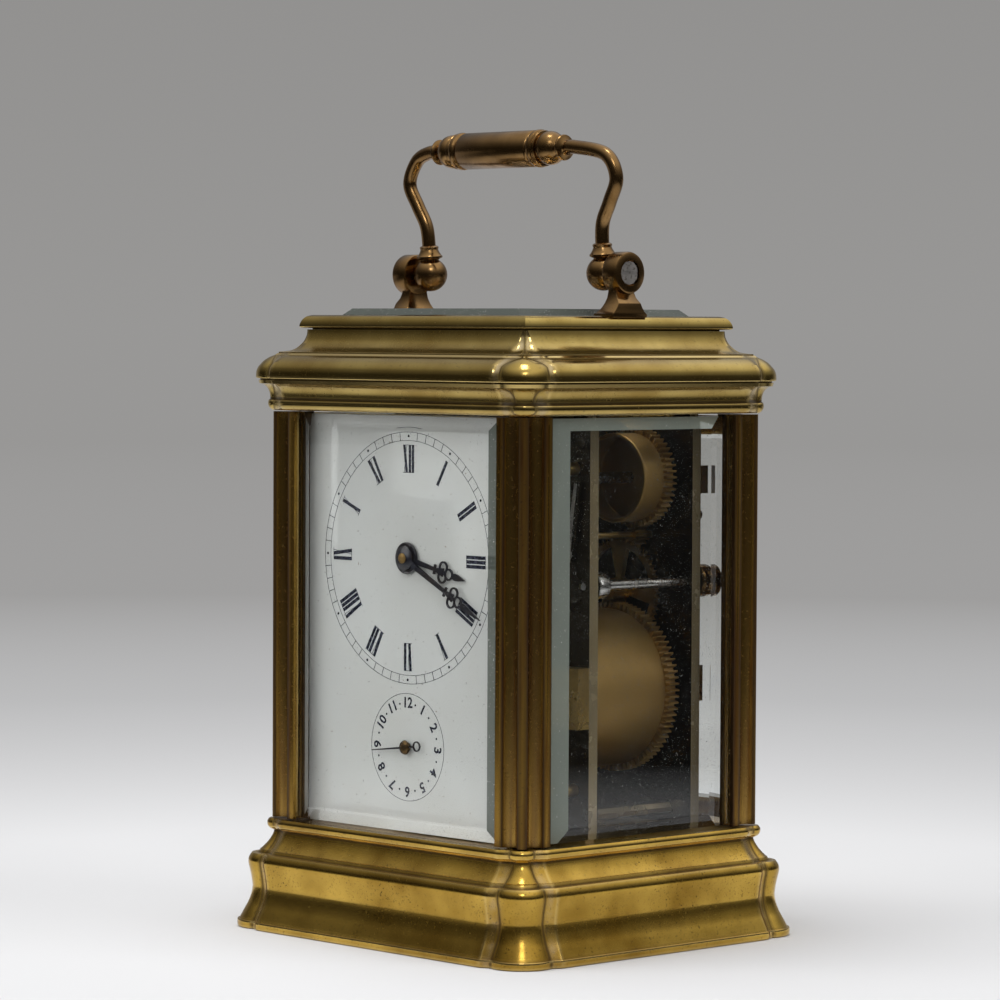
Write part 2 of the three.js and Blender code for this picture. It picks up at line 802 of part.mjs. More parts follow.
function frontGlass() {
  return sidePane(caseWidth).translate([0, -halfDepth + rebateStart + fit + glassThickness, middleHeight]);
}

function sideGlass(side) {
  return sidePane(caseDepth)
    .rotate([0, 0, 90 * side])
    .translate([side * (halfWidth - rebateStart - fit - glassThickness), 0, middleHeight]);
}

// Back door: a frame with a rebated pane, on two pins at its left edge
function doorFrame() {
  const lip = doorStile - doorLip;
  const inner = upright(doorHalfWidth - doorStile, doorBottom + doorStile, doorTop - doorStile);
  const frame = facing(upright(doorHalfWidth, doorBottom, doorTop), doorFront, halfDepth, [inner]);
  const outline = upright(doorHalfWidth - lip, doorBottom + lip, doorTop - lip);
  const rebate = facing(outline, doorFront - overrun, halfDepth - doorLip);
  const pin = post(doorPin, doorPinRadius, doorBottom - doorPinReach, doorTop + doorPinReach, 8);
  const knobAt = [doorHalfWidth - doorStile / 2, doorBottom + doorKnobRise];
  const hole = rod(knobAt, doorPinRadius + fit, doorFront - overrun, halfDepth + overrun);
  return frame.subtract(rebate).subtract(hole).add(pin);
}

function doorGlass() {
  const width = 2 * (doorHalfWidth - doorStile + doorLip - fit);
  const height = doorTop - doorBottom - 2 * (doorStile - doorLip + fit);
  const thickness = doorThickness - doorLip - fit;
  return pane(width, height, thickness, glassBevelWidth, thickness / 2)
    .rotate([-90, 0, 0])
    .translate([0, doorFront, (doorBottom + doorTop) / 2]);
}

function doorKnob() {
  const at = [doorHalfWidth - doorStile / 2, doorBottom + doorKnobRise];
  const face = halfDepth + fit;
  const tip = face + doorKnobLength;
  const latch = doorKnobRadius * doorLatchShare;
  const knob = doorKnobShares.map(([radius, back]) => [radius * doorKnobRadius, tip - back * doorKnobRadius]);
  return turned(at, [
    [0, doorFront - fit], [doorPinRadius, doorFront - fit], [doorPinRadius, face],
    [latch, face], [latch, face + latch / 2], [doorPinRadius, face + latch],
    [doorPinRadius, tip - 2 * doorKnobRadius], ...knob, [0, tip],
  ]);
}

// The holes in the mouldings that the door's pins turn in
function doorPinHole(low, high) {
  return post(doorPin, doorPinRadius + boreClearance, low, high, 8);
}

// Lugs: a round eye on a waisted neck that spreads to the foot on all four sides
function lugNeck() {
  const rise = pivotHeight - lugBottom;
  const halfFoot = lugFootDepth / 2;
  const waist = lugFlareShares.at(-2)[0];
  const side = lugFlareShares.map(([wide, up]) => [wide * halfFoot, lugBottom + up * rise]);
  const across = standingAcross([
    [-halfFoot, lugBottom], [halfFoot, lugBottom], ...side,
    ...side.map(([y, z]) => [-y, z]).reverse(),
  ], lugFootInner, lugFootOuter);
  const inner = lugFlareShares.map(([wide, up]) => {
    const spread = Math.max(0, (wide - waist) / (1 - waist));
    return [lugInner - spread * (lugInner - lugFootInner), lugBottom + up * rise];
  });
  const along = facing([
    [lugFootInner, lugBottom], [lugFootOuter, lugBottom], [lugFootOuter, pivotHeight], ...inner.reverse(),
  ], -halfFoot - overrun, halfFoot + overrun);
  return across.intersect(along);
}

function lug(side) {
  const shank = screwShankRadius + boreClearance;
  const head = screwHeadRadius + boreClearance;
  const shoulder = lugOuter - screwRecess - fit;
  const eye = turnedAcross([0, pivotHeight], [
    [0, lugInner], [lugRadius - fit, lugInner], [lugRadius, lugInner + fit],
    [lugRadius, lugOuter - fit], [lugRadius - fit, lugOuter], [0, lugOuter],
  ], 18);
  const bore = turnedAcross([0, pivotHeight], [
    [0, lugInner - overrun], [shank, lugInner - overrun], [shank, shoulder],
    [head, shoulder], [head, lugOuter + overrun], [0, lugOuter + overrun],
  ], 12);
  return mirroredLeft(lugNeck().add(eye).subtract(bore), side);
}

function pivotScrew(side) {
  const head = lugOuter - screwRecess;
  const slot = box(
    [head + screwRecess / 2, -screwHeadRadius, pivotHeight - fit],
    [lugOuter + overrun, screwHeadRadius, pivotHeight + fit],
  );
  const body = turnedAcross([0, pivotHeight], [
    [0, bowHalfSpan], [screwShankRadius, bowHalfSpan], [screwShankRadius, head],
    [screwHeadRadius, head], [screwHeadRadius, lugOuter - fit], [0, lugOuter - fit],
  ], 12);
  return mirroredLeft(body.subtract(slot), side);
}

// Handle, drawn round the pivot axis at height zero and then leant forward
function bowPath(side) {
  const collar = gripShift * side + gripHalfLength + bowCollarLength;
  const points = [
    [bowHalfSpan, handleBall],
    ...bowShares.map(([out, up]) => [bowHalfSpan + bowSwell * out, gripRise * up]),
    [collar + bowCollarLength, gripRise], [collar, gripRise],
  ];
  return new THREE.CatmullRomCurve3(points.map(([x, z]) => new THREE.Vector3(side * x, 0, z)));
}

function handleArm(side) {
  const section = flatShape(circle([0, 0], handleTube, 8));
  const options = { steps: 14, bevelEnabled: false, extrudePath: bowPath(side) };
  const tube = closed(new THREE.ExtrudeGeometry(section, options));
  const ball = new THREE.SphereGeometry(handleBall, 12, 8);
  ball.translate(side * bowHalfSpan, 0, 0);
  const neck = neckShares.map(([radius, up]) => [radius * handleBall, up * handleBall]);
  const neckTop = neck.at(-1)[1];
  const turnedNeck = turnedUp([side * bowHalfSpan, 0], [[0, neck[0][1]], ...neck, [0, neckTop]], 12);
  const start = side * gripShift + gripHalfLength + fit;
  const collar = bowCollarShares.map(([radius, along]) => {
    return [radius * handleTube, start + along * bowCollarLength];
  });
  const turnedCollar = turnedAcross([0, gripRise], [
    [0, start], ...collar, [0, start + bowCollarLength],
  ], 12);
  const bore = turnedAcross([0, 0], [
    [0, bowHalfSpan - fit], [screwShankRadius + fit, bowHalfSpan - fit],
    [screwShankRadius + fit, lugOuter], [0, lugOuter],
  ], 10);
  return joined([tube, closed(ball), turnedNeck, mirroredLeft(turnedCollar, side)])
    .subtract(mirroredLeft(bore, side));
}

function handleGrip() {
  const half = gripProfileShares.map(([radius, along]) => [radius * gripRadius, along * gripHalfLength]);
  const left = half.slice(1).map(([radius, along]) => [radius, -along]).reverse();
  const profile = [[0, -gripHalfLength], ...left, ...half, [0, gripHalfLength]];
  return turnedAcross([0, gripRise], profile, 12).translate([gripShift, 0, 0]);
}

// Wheels and pinions
function toothed(at, teeth, module, tooth, phase) {
  const radius = teeth * module / 2;
  const root = radius - tooth.dedendumShare * module;
  const tip = radius + tooth.addendumShare * module;
  const pitch = turn / teeth;
  const crown = tooth.tipShare > 0
    ? [[tip, -tooth.tipShare / 2], [tip, tooth.tipShare / 2]]
    : [[tip, 0]];
  const corners = [[root, -tooth.rootShare / 2], ...crown, [root, tooth.rootShare / 2]];
  return Array.from({ length: teeth }, (_, i) => corners.map(([reach, share]) => {
    const angle = phase + (i + share) * pitch;
    return [at[0] + reach * Math.cos(angle), at[1] + reach * Math.sin(angle)];
  })).flat();
}

// The phase that puts a space of the second wheel over a tooth of the first
function meshPhase(first, second, firstPhase, firstTeeth, secondTeeth) {
  const line = Math.atan2(second[1] - first[1], second[0] - first[0]);
  return line + Math.PI - (firstPhase - line) * firstTeeth / secondTeeth - Math.PI / secondTeeth;
}

function wheel(at, teeth, module, phase, front, thickness = wheelThickness) {
  return facing(toothed(at, teeth, module, pointedTooth, phase), front, front + thickness);
}

function pinion(at, leaves, module, phase, front, length = pinionLength) {
  return facing(toothed(at, leaves, module, pinionTooth, phase), front, front + length);
}

// Cut the sectors between the spokes out of a wheel
function crossedOut(body, at, rim, hub, front, thickness, spokes = 4) {
  const cutters = Array.from({ length: spokes }, (_, i) => {
    const start = turn * (i + 0.5 * spokeShare) / spokes;
    const sweep = turn * (1 - spokeShare) / spokes;
    const outer = Array.from({ length: 5 }, (_unused, k) => [rim, start + sweep * k / 4]);
    const inner = Array.from({ length: 3 }, (_unused, k) => [hub, start + sweep * (2 - k) / 2]);
    const points = [...outer, ...inner].map(([r, a]) => [at[0] + r * Math.cos(a), at[1] + r * Math.sin(a)]);
    return facing(points, front - overrun, front + thickness + overrun);
  });
  return cutters.reduce((left, cutter) => left.subtract(cutter), body);
}

function polar([x, z], radius, angle) {
  return [x + radius * Math.cos(angle), z + radius * Math.sin(angle)];
}

// The third corner of a triangle on two arbors, given its distances from both
function arborBetween(first, second, fromFirst, fromSecond, side) {
  const dx = second[0] - first[0];
  const dz = second[1] - first[1];
  const span = apart(first, second);
  const along = (fromFirst ** 2 - fromSecond ** 2 + span ** 2) / (2 * span);
  const off = side * Math.sqrt(fromFirst ** 2 - along ** 2);
  return [
    first[0] + (along * dx + off * dz) / span,
    first[1] + (along * dz - off * dx) / span,
  ];
}

const meshReach = (teeth, leaves, module) => (teeth + leaves) * module / 2;

// The arbors that follow from the wheels that mesh on them
const intermediateAt = arborBetween(
  barrelAt, centreAt,
  meshReach(barrelTeeth, intermediateLeaves, barrelModule),
  meshReach(intermediateTeeth, centreLeaves, intermediateModule), 1,
);
const thirdAt = arborBetween(
  centreAt, contrateAt,
  meshReach(centreTeeth, thirdLeaves, centreModule),
  meshReach(thirdTeeth, contrateLeaves, thirdModule), -1,
);
const alarmReach = meshReach(alarmTeeth, alarmLeaves, alarmModule);
const alarmPinionAt = [alarmBarrelShift, alarmBarrelAt[1] - alarmReach];
const minuteAt = polar(centreAt, meshReach(cannonTeeth, minuteTeeth, motionModule), motionAngle);
const settingAt = [-meshReach(settingTeeth, alarmWheelTeeth, settingModule), alarmHeight];

// The angle of each wheel, so that its teeth stand in the spaces of the next
const barrelPhase = 0.01;
const intermediatePinionPhase = meshPhase(
  barrelAt, intermediateAt, barrelPhase, barrelTeeth, intermediateLeaves,
);
const intermediatePhase = 0.02;
const centrePinionPhase = meshPhase(
  intermediateAt, centreAt, intermediatePhase, intermediateTeeth, centreLeaves,
);
const centrePhase = 0.015;
const thirdPinionPhase = meshPhase(centreAt, thirdAt, centrePhase, centreTeeth, thirdLeaves);
const thirdPhase = 0.03;
const contratePinionPhase = meshPhase(thirdAt, contrateAt, thirdPhase, thirdTeeth, contrateLeaves);
const cannonPhase = 0;
const minutePhase = meshPhase(centreAt, minuteAt, cannonPhase, cannonTeeth, minuteTeeth);
const minuteLeafPhase = 0.1;
const hourModule = (cannonTeeth + minuteTeeth) * motionModule / (minuteLeaves + hourTeeth);
const hourPhase = meshPhase(minuteAt, centreAt, minuteLeafPhase, minuteLeaves, hourTeeth);
const alarmPhase = 0.02;
const alarmPinionPhase = meshPhase(alarmBarrelAt, alarmPinionAt, alarmPhase, alarmTeeth, alarmLeaves);
const settingPhase = 0;
const alarmWheelPhase = meshPhase(settingAt, [0, alarmHeight], settingPhase, settingTeeth, alarmWheelTeeth);

// A faceted bore clears a round arbor at the middle of its flats
const boreCorner = (radius) => (radius + boreClearance) / Math.cos(turn / 12);

function plateHoles() {
  const pivots = [intermediateAt, thirdAt, contrateAt, alarmPinionAt];
  const holes = pivots.map((at) => circle(at, boreCorner(arborRadius), 6));
  holes.push(circle(centreAt, boreCorner(arborRadius), 6));
  holes.push(circle(stopArborAt, boreCorner(arborRadius), 6));
  holes.push(circle(alarmBarrelAt, boreCorner(alarmArborRadius), 6));
  holes.push(circle(barrelAt, boreCorner(barrelArborRadius), 8));
  holes.push(circle(settingAt, boreCorner(arborRadius), 6));
  return holes;
}

function plateOutline() {
  const low = plateBottom;
  const high = plateTop;
  const x = plateHalfWidth;
  const c = plateCorner;
  return [[-x, low], [x, low], [x, high - c], [x - c, high], [c - x, high], [-x, high - c]];
}

// The pillars are riveted into the front plate, as in such movements
function frontPlate() {
  const plate = facing(plateOutline(), frontPlateFront, frontPlateBack, plateHoles());
  return joined([plate, ...movementPillarPlaces.map(movementPillar)]);
}

function backPlate() {
  return facing(plateOutline(), backPlateFront, backPlateBack, plateHoles());
}

function movementPillar(at) {
  const r = movementPillarRadius;
  const waist = r * movementWaistShare;
  const low = frontPlateBack;
  const high = backPlateFront - seatGap;
  return turned(at, [
    [0, low - fit], [r, low - fit], [r, low + r], [waist, low + 1.5 * r],
    [waist, high - 1.5 * r], [r, high - r], [r, high], [0, high],
  ], 8);
}

function goingBarrel() {
  const back = greatWheelFront + greatWheelThickness;
  const great = toothed(barrelAt, barrelTeeth, barrelModule, pointedTooth, barrelPhase);
  const hole = barrelArborRadius + boreClearance;
  const bore = rod(barrelAt, hole, barrelDrumFront - overrun, back + overrun, 10);
  const drum = rod(barrelAt, barrelDrumRadius, barrelDrumFront, greatWheelFront + fit, 24);
  return drum.add(facing(great, greatWheelFront, back)).subtract(bore);
}

function square([x, z], width, front, back) {
  return facing(rectangle(width / 2, width / 2).map(([u, v]) => [x + u, z + v]), front, back);
}

function barrelArbor() {
  const back = backPlateBack + fit;
  const arbor = rod(barrelAt, barrelArborRadius, ratchetFront - fit, back);
  return arbor.add(square(barrelAt, squareWidth, back - fit, back + squareLength));
}

function ratchetWheel() {
  const points = Array.from({ length: ratchetTeeth }, (_, i) => [
    polar(barrelAt, ratchetRadius, turn * i / ratchetTeeth),
    polar(barrelAt, ratchetRadius - ratchetDepth, turn * (i + ratchetLeanShare) / ratchetTeeth),
  ]).flat();
  const hole = circle(barrelAt, barrelArborRadius + boreClearance);
  return facing(points, ratchetFront, ratchetFront + ratchetThickness, [hole]);
}

function barrelCock() {
  const front = ratchetFront - fit - cockThickness;
  const [x, z] = barrelAt;
  const left = arborRadius + 2 * fit;
  const clear = ratchetRadius + 2 * fit;
  const slab = (low, high, back) => facing([
    [low, z - cockHalfHeight], [high, z - cockHalfHeight],
    [high, z + cockHalfHeight], [low, z + cockHalfHeight],
  ], front, back);
  return joined([
    slab(left, plateHalfWidth, front + cockThickness),
    slab(left, x - clear, frontPlateFront),
    slab(x + clear, plateHalfWidth, frontPlateFront),
  ]);
}

function barrelClick() {
  const low = barrelHeight - clickDrop;
  const high = low + clickHeight;
  const points = [
    [plateHalfWidth - clickFootWidth, low], [plateHalfWidth, low],
    [plateHalfWidth, high], [plateHalfWidth - clickHeadWidth, high],
  ];
  return facing(points, backPlateBack, backPlateBack + clickThickness);
}

function arborThrough(at, front = frontPlateFront + fit, back = backPlateBack - fit) {
  return rod(at, arborRadius, front, back, 8);
}

function intermediateWheel() {
  const [teeth, module, front] = [intermediateTeeth, intermediateModule, intermediateFront];
  const body = wheel(intermediateAt, teeth, module, intermediatePhase, front);
  const rim = teeth * module / 2 - 3 * wheelThickness / 2;
  const crossed = crossedOut(body, intermediateAt, rim, rim / 3, front, wheelThickness);
  const start = greatWheelFront - fit;
  const leaves = pinion(
    intermediateAt, intermediateLeaves, barrelModule, intermediatePinionPhase, start, front + fit - start,
  );
  return crossed.add(leaves).add(arborThrough(intermediateAt));
}

function centreWheel() {
  const [teeth, module, front] = [centreTeeth, centreModule, centreWheelFront];
  const body = wheel(centreAt, teeth, module, centrePhase, front);
  const rim = teeth * module / 2 - 3 * wheelThickness / 2;
  const crossed = crossedOut(body, centreAt, rim, rim / 3, front, wheelThickness);
  const leaves = pinion(
    centreAt, centreLeaves, intermediateModule, centrePinionPhase,
    intermediateFront - fit, wheelThickness + 2 * fit,
  );
  return crossed.add(leaves).add(arborThrough(centreAt, minuteHandBack + seatGap));
}

function thirdWheel() {
  const body = wheel(thirdAt, thirdTeeth, thirdModule, thirdPhase, thirdWheelFront);
  const start = centreWheelFront - wheelThickness;
  const leaves = pinion(thirdAt, thirdLeaves, centreModule, thirdPinionPhase, start);
  return body.add(leaves).add(arborThrough(thirdAt));
}

function contrateCup() {
  const [reach, wall, floor] = [contrateRadius, contrateWall, contrateFront + contrateWall];
  const cup = turned(contrateAt, [
    [0, contrateFront], [reach, contrateFront], [reach, contrateBack],
    [reach - wall, contrateBack], [reach - wall, floor], [0, floor],
  ], contrateTeeth);
  const gaps = Array.from({ length: contrateTeeth / 2 }, (_, i) => {
    const angle = turn * 2 * i / contrateTeeth;
    const half = turn / contrateTeeth / 2;
    const points = [
      polar(contrateAt, reach - 2 * wall, angle - half), polar(contrateAt, reach + wall, angle - half),
      polar(contrateAt, reach + wall, angle + half), polar(contrateAt, reach - 2 * wall, angle + half),
    ];
    return facing(points, floor + fit, contrateBack + overrun);
  });
  return gaps.reduce((left, gap) => left.subtract(gap), cup);
}

function contrateWheel() {
  const start = thirdWheelFront - wheelThickness;
  const leaves = pinion(contrateAt, contrateLeaves, thirdModule, contratePinionPhase, start);
  return contrateCup().add(leaves).add(arborThrough(contrateAt));
}

// Motion work
function cannonPinion() {
  const bore = arborRadius + boreClearance;
  const front = minuteHandBack + seatGap;
  const back = frontPlateFront - fit;
  const pipe = turned(centreAt, [
    [bore, front], [cannonPipeRadius, front], [cannonPipeRadius, back], [bore, back], [bore, front],
  ], 10);
  const hole = circle(centreAt, bore, 10);
  const leaves = toothed(centreAt, cannonTeeth, motionModule, pinionTooth, cannonPhase);
  return pipe.add(facing(leaves, cannonFront, cannonFront + 2 * wheelThickness, [hole]));
}

function minuteWheel() {
  const front = hourWheelFront - fit;
  const body = wheel(minuteAt, minuteTeeth, motionModule, minutePhase, cannonFront + wheelThickness / 2);
  const length = cannonFront - hourWheelFront + wheelThickness;
  const leaves = pinion(minuteAt, minuteLeaves, hourModule, minuteLeafPhase, front, length);
  return body.add(leaves).add(rod(minuteAt, arborRadius, front, frontPlateFront - seatGap, 8));
}

function hourWheel() {
  const front = hourHandBack + seatGap;
  const back = hourWheelFront + wheelThickness;
  const pipe = turned(centreAt, [
    [hourPipeBore, front], [hourPipeRadius, front], [hourPipeRadius, back],
    [hourPipeBore, back], [hourPipeBore, front],
  ], 12);
  const teeth = toothed(centreAt, hourTeeth, hourModule, pointedTooth, hourPhase);
  return pipe.add(facing(teeth, hourWheelFront, back, [circle(centreAt, hourPipeBore, 12)]));
}

// Dial and hands
function dialPlate() {
  const outline = upright(dialHalfWidth, plateBottom + fit, pillarTop - seatGap);
  const centreHole = circle(centreAt, hourPipeRadius + fit, 12);
  const alarmHole = circle([0, alarmHeight], arborRadius + fit, 8);
  const plate = facing(outline, dialFront, dialFront + dialThickness, [centreHole, alarmHole]);
  return joined([plate, ...dialFootPlaces.map(dialFoot)]);
}

function dialFoot(at) {
  return rod(at, dialFootRadius, dialFront + dialThickness / 2, frontPlateFront - seatGap, 8);
}

// A leaf-pointed hand with three open rings near its end, drawn along +X from its arbor
function trefoilHand(length, front) {
  const back = front + handThickness;
  const middle = length * trefoilPlaceShare;
  const offset = trefoilRing - trefoilWall / 2;
  const placed = ([along, half]) => [middle + along * trefoilRing, half * trefoilRing];
  const blade = (side) => facing([
    ...side.map(([x, z]) => [x, -z]), ...side.slice().reverse(),
  ], front, back);
  const ringAt = (x, z) => {
    const hole = circle([x, z], trefoilRing - trefoilWall, 8);
    return facing(circle([x, z], trefoilRing, 10), front, back, [hole]);
  };
  return joined([
    blade([[0, handFoot], placed(stemEndShares)]),
    blade(crossShares.map(placed)),
    ringAt(middle - offset, offset),
    ringAt(middle - offset, -offset),
    ringAt(middle + offset * trefoilLiftShare, 0),
    facing([
      ...bladeShares.map(placed).map(([x, z]) => [x, -z]), [length, 0],
      ...bladeShares.map(placed).reverse(),
    ], front, back),
    blade(linkShares.map(placed)),
  ]);
}

function handBoss(radius, dome, front) {
  const back = front + handThickness;
  const shoulder = [radius * bossShares.radiusShare, front - dome * bossShares.riseShare];
  return turned([0, 0], [[0, front - dome], shoulder, [radius, front], [radius, back], [0, back]], 16);
}

function placedHand(body, [x, z], angle) {
  return body.rotate([0, -angle / degree, 0]).translate([x, 0, z]);
}

function minuteHand() {
  const boss = handBoss(minuteHandBoss, minuteHandDome, minuteHandFront);
  const hand = trefoilHand(minuteHandLength, minuteHandFront).add(boss);
  return placedHand(hand, centreAt, minuteHandAngle);
}

function hourHand() {
  const boss = handBoss(hourHandBoss, hourHandDome, hourHandFront);
  const hole = rod([0, 0], hourPipeBore, hourHandFront - overrun, hourHandBack + overrun, 12);
  const hand = trefoilHand(hourHandLength, hourHandFront).add(boss).subtract(hole);
  return placedHand(hand, centreAt, hourHandAngle);
}

function alarmHand() {
  const start = alarmHandWall - alarmHandTail + alarmHandRing / 2;
  const stem = facing([
    [start, -alarmHandFoot], [alarmHandLength, -alarmHandTip],
    [alarmHandLength, alarmHandTip], [start, alarmHandFoot],
  ], hourHandFront, hourHandBack);
  const hole = circle([-alarmHandTail, 0], alarmHandRing - alarmHandWall, 10);
  const ring = facing(circle([-alarmHandTail, 0], alarmHandRing, 12), hourHandFront, hourHandBack, [hole]);
  const boss = handBoss(alarmHandBoss, alarmHandDome, hourHandFront);
  return placedHand(joined([stem, ring, boss]), [0, alarmHeight], alarmHandAngle);
}

// Alarm train, setting work and stop knob
function alarmBarrel() {
  const [at, front, reach, wall] = [alarmBarrelAt, alarmDrumFront, alarmDrumRadius, alarmDrumWall];
  const back = front + alarmDrumLength;
  const cup = turned(at, [
    [0, back - wall], [reach - wall, back - wall], [reach - wall, front], [reach, front],
    [reach, back + fit], [0, back + fit],
  ], 22);
  const outline = toothed(at, alarmTeeth, alarmModule, pointedTooth, alarmPhase);
  const teeth = facing(outline, back, back + alarmWheelThickness);
  const arbor = rod(at, alarmArborRadius, frontPlateFront, backPlateBack + fit, 10);
  return joined([cup, teeth, arbor, square(at, squareWidth, backPlateBack, backPlateBack + squareLength)]);
}

// Pointed escape teeth that all lean one way
function escapeOutline(at, reach) {
  return Array.from({ length: escapeTeeth }, (_, i) => [
    polar(at, reach, turn * i / escapeTeeth),
    polar(at, reach * escapeRootShare, turn * (i + escapeLeanShare) / escapeTeeth),
  ]).flat();
}

function alarmEscapeWheel() {
  const leaves = pinion(
    alarmPinionAt, alarmLeaves, alarmModule, alarmPinionPhase,
    alarmDrumFront + alarmDrumLength - fit, alarmWheelThickness + 2 * fit,
  );
  const outline = escapeOutline(alarmPinionAt, alarmEscapeRadius);
  const teeth = facing(outline, alarmEscapeFront, alarmEscapeFront + wheelThickness);
  return joined([leaves, teeth, arborThrough(alarmPinionAt)]);
}

function alarmSettingArbor() {
  const front = alarmWheelFront - fit;
  const back = backPlateBack + fit;
  const leaves = pinion(
    settingAt, settingTeeth, settingModule, settingPhase, front, wheelThickness + 2 * fit,
  );
  const knob = rod(settingAt, settingKnobRadius, back, backPlateBack + squareLength, 16);
  return joined([leaves, rod(settingAt, arborRadius, front, back + fit, 8), knob]);
}

function alarmWheel() {
  const at = [0, alarmHeight];
  const body = wheel(at, alarmWheelTeeth, settingModule, alarmWheelPhase, alarmWheelFront);
  return body.add(rod(at, arborRadius, hourHandBack + seatGap, frontPlateFront - seatGap, 8));
}

function stopKnob() {
  const back = backPlateBack + fit;
  const tip = back + knobLength;
  const arbor = rod(stopArborAt, arborRadius, frontPlateFront + fit, back + fit, 8);
  const cupBack = stopCupFront + stopCupLength;
  const cup = turned(stopArborAt, [
    [0, cupBack], [stopCupRadius, cupBack], [stopCupRadius, stopCupFront],
    [stopCupRadius - stopCupWall, stopCupFront], [stopCupRadius - stopCupWall, stopCupFront + stopCupDepth],
    [0, stopCupFront + stopCupDepth],
  ], 14);
  const profile = knobShares.map(([reach, along]) => [reach * knobRadius, back + along * knobLength]);
  const knob = turned(stopArborAt, [[0, back], ...profile, [0, tip]], 16);
  const pinAt = stopArborAt.map((value) => value + knobRadius * stopPinShare);
  return joined([arbor, cup, knob, rod(pinAt, stopPinRadius, tip - fit, tip + stopPinLength, 6)]);
}

function alarmLever() {
  const back = frontPlateFront - alarmLeverGap;
  const front = back - alarmLeverThickness;
  const [x, z] = alarmLeverAt;
  const outline = alarmLeverShares.map(([across, up]) => {
    return [x + across * alarmLeverLength, z + up * alarmLeverLength];
  });
  const boss = rod(alarmLeverAt, alarmLeverBoss, front, frontPlateFront - seatGap, 10);
  return facing(outline, front, back).add(boss);
}

// The domed head of a small screw, sunk a little into what carries it
function domedHead(at, reach, back, height) {
  const dome = domeShares.map(([radius, up]) => [radius * reach, back + up * height]);
  return turned(at, [[0, back - fit], [reach, back - fit], ...dome, [0, back + height]], 12);
}

function backCock() {
  const [, z] = alarmBarrelAt;
  const front = backPlateBack + seatGap;
  const back = front + backCockThickness;
  const block = box(
    [plateHalfWidth - backCockWidth, front, z - backCockBelow],
    [plateHalfWidth, back, z + backCockAbove],
  );
  const screwAt = [plateHalfWidth - cockScrewInset, z - seatGap];
  return block.add(domedHead(screwAt, cockScrewRadius, back, cockScrewHeight));
}

function backScrew() {
  const at = [plateHalfWidth - backScrewInset, alarmBarrelAt[1] - backScrewFall];
  const back = backPlateBack + seatGap + fit;
  return domedHead(at, backScrewRadius, back, backScrewHeight - fit);
}

function hammer() {
  const [x, y] = hammerAt;
  const pivot = plateBottom + hammerPivotRise;
  const head = pivot - hammerReach;
  const half = hammerRodWidth / 2;
  const stem = box([x - half, y - half, head], [x + half, y + half, pivot]);
  const front = y - hammerHeadLength / 2;
  const weight = rod([x, head], hammerHeadRadius, front, front + hammerHeadLength);
  const arbor = arborThrough([x, pivot], frontPlateBack + seatGap, backPlateFront - seatGap);
  return joined([stem, weight, arbor]);
}

function alarmBell() {
  const top = bellBottom + bellHeight;
  const outer = [
    [bellHoleRadius, top],
    ...bellShares.map(([reach, drop]) => [reach * bellRadius, top - drop * bellHeight]),
    [bellRadius, bellBottom],
  ];
  const inner = [
    [bellRadius - bellWall, bellBottom],
    [bellShares[1][0] * bellRadius - bellWall, top - bellShares[1][1] * bellHeight - bellWall],
    [bellShares[0][0] * bellRadius, top - bellShares[0][1] * bellHeight - bellWall],
    [bellHoleRadius, top - bellWall],
  ];
  return turnedUp(bellAt, [...outer, ...inner, [bellHoleRadius, top]], 16);
}

function bellPost() {
  const top = baseHeight - floorThickness - seatGap;
  const bellTop = bellBottom + bellHeight;
  const nutTop = bellTop - bellWall - seatGap;
  const nutBottom = nutTop + seatGap - bellNutThickness;
  return turnedUp(bellAt, [
    [0, nutBottom], [bellNutRadius, nutBottom], [bellNutRadius, nutTop], [bellStemRadius, nutTop],
    [bellStemRadius, bellTop + seatGap], [bellPostRadius, bellTop + seatGap], [bellPostRadius, top], [0, top],
  ], 12);
}

// Platform escapement
function platformPlate() {
  const halfY = (backPlateBack - frontPlateFront) / 2;
  const points = rectangle(platformWidth / 2, halfY).map(([x, y]) => [x, y + platformMiddle]);
  return standing(points, platformBottom, platformTop, [circle(escapeAt, escapeHoleRadius, 10)]);
}

// The pinion hangs below the platform and reaches the teeth of the contrate wheel
function escapeWheel() {
  const bottom = platformTop + escapeLift;
  const disc = standing(escapeOutline(escapeAt, escapeRadius), bottom, bottom + escapeThickness);
  const tip = escapeAt[1] - contrateBack - fit;
  const leaves = Array.from({ length: escapePinionPoints }, (_, i) => {
    return polar(escapeAt, i % 2 ? tip : tip * escapePinionRootShare, turn * i / escapePinionPoints);
  });
  const pinionBottom = contrateHeight + contrateRadius * escapePinionStartShare;
  const pinionTop = contrateHeight + contrateRadius + 2 * fit;
  const arbor = post(escapeAt, escapeArborRadius, pinionBottom - fit, platformTop + escapeArborRise, 8);
  return joined([disc, standing(leaves, pinionBottom, pinionTop), arbor]);
}

function palletLever() {
  const [x, y] = leverAt;
  const bottom = platformTop + leverLift;
  const right = leverShares.map(([across, along]) => [x + across * leverLength, y + along * leverLength]);
  const left = right.map(([u, v]) => [2 * x - u, v]).reverse();
  const fork = standing([...right, ...left], bottom, bottom + leverThickness);
  const arbor = post(leverAt, leverArborRadius, platformTop + seatGap, platformTop + escapeArborRise, 8);
  return fork.add(arbor);
}

function balanceWheel() {
  const [x, y] = balanceAt;
  const bottom = platformTop + balanceLift;
  const top = bottom + balanceThickness;
  const hole = circle(balanceAt, balanceRadius - balanceRimWidth, 20);
  const rim = standing(circle(balanceAt, balanceRadius, 20), bottom, top, [hole]);
  const reach = balanceRadius - balanceRimWidth + fit;
  const half = balanceArmWidth / 2;
  const arm = box([x - reach, y - half, bottom], [x + reach, y + half, top]);
  const staff = post(balanceAt, balanceStaffRadius, platformTop + seatGap, bottom + balanceStaffRise, 8);
  return joined([rim, arm, staff]);
}

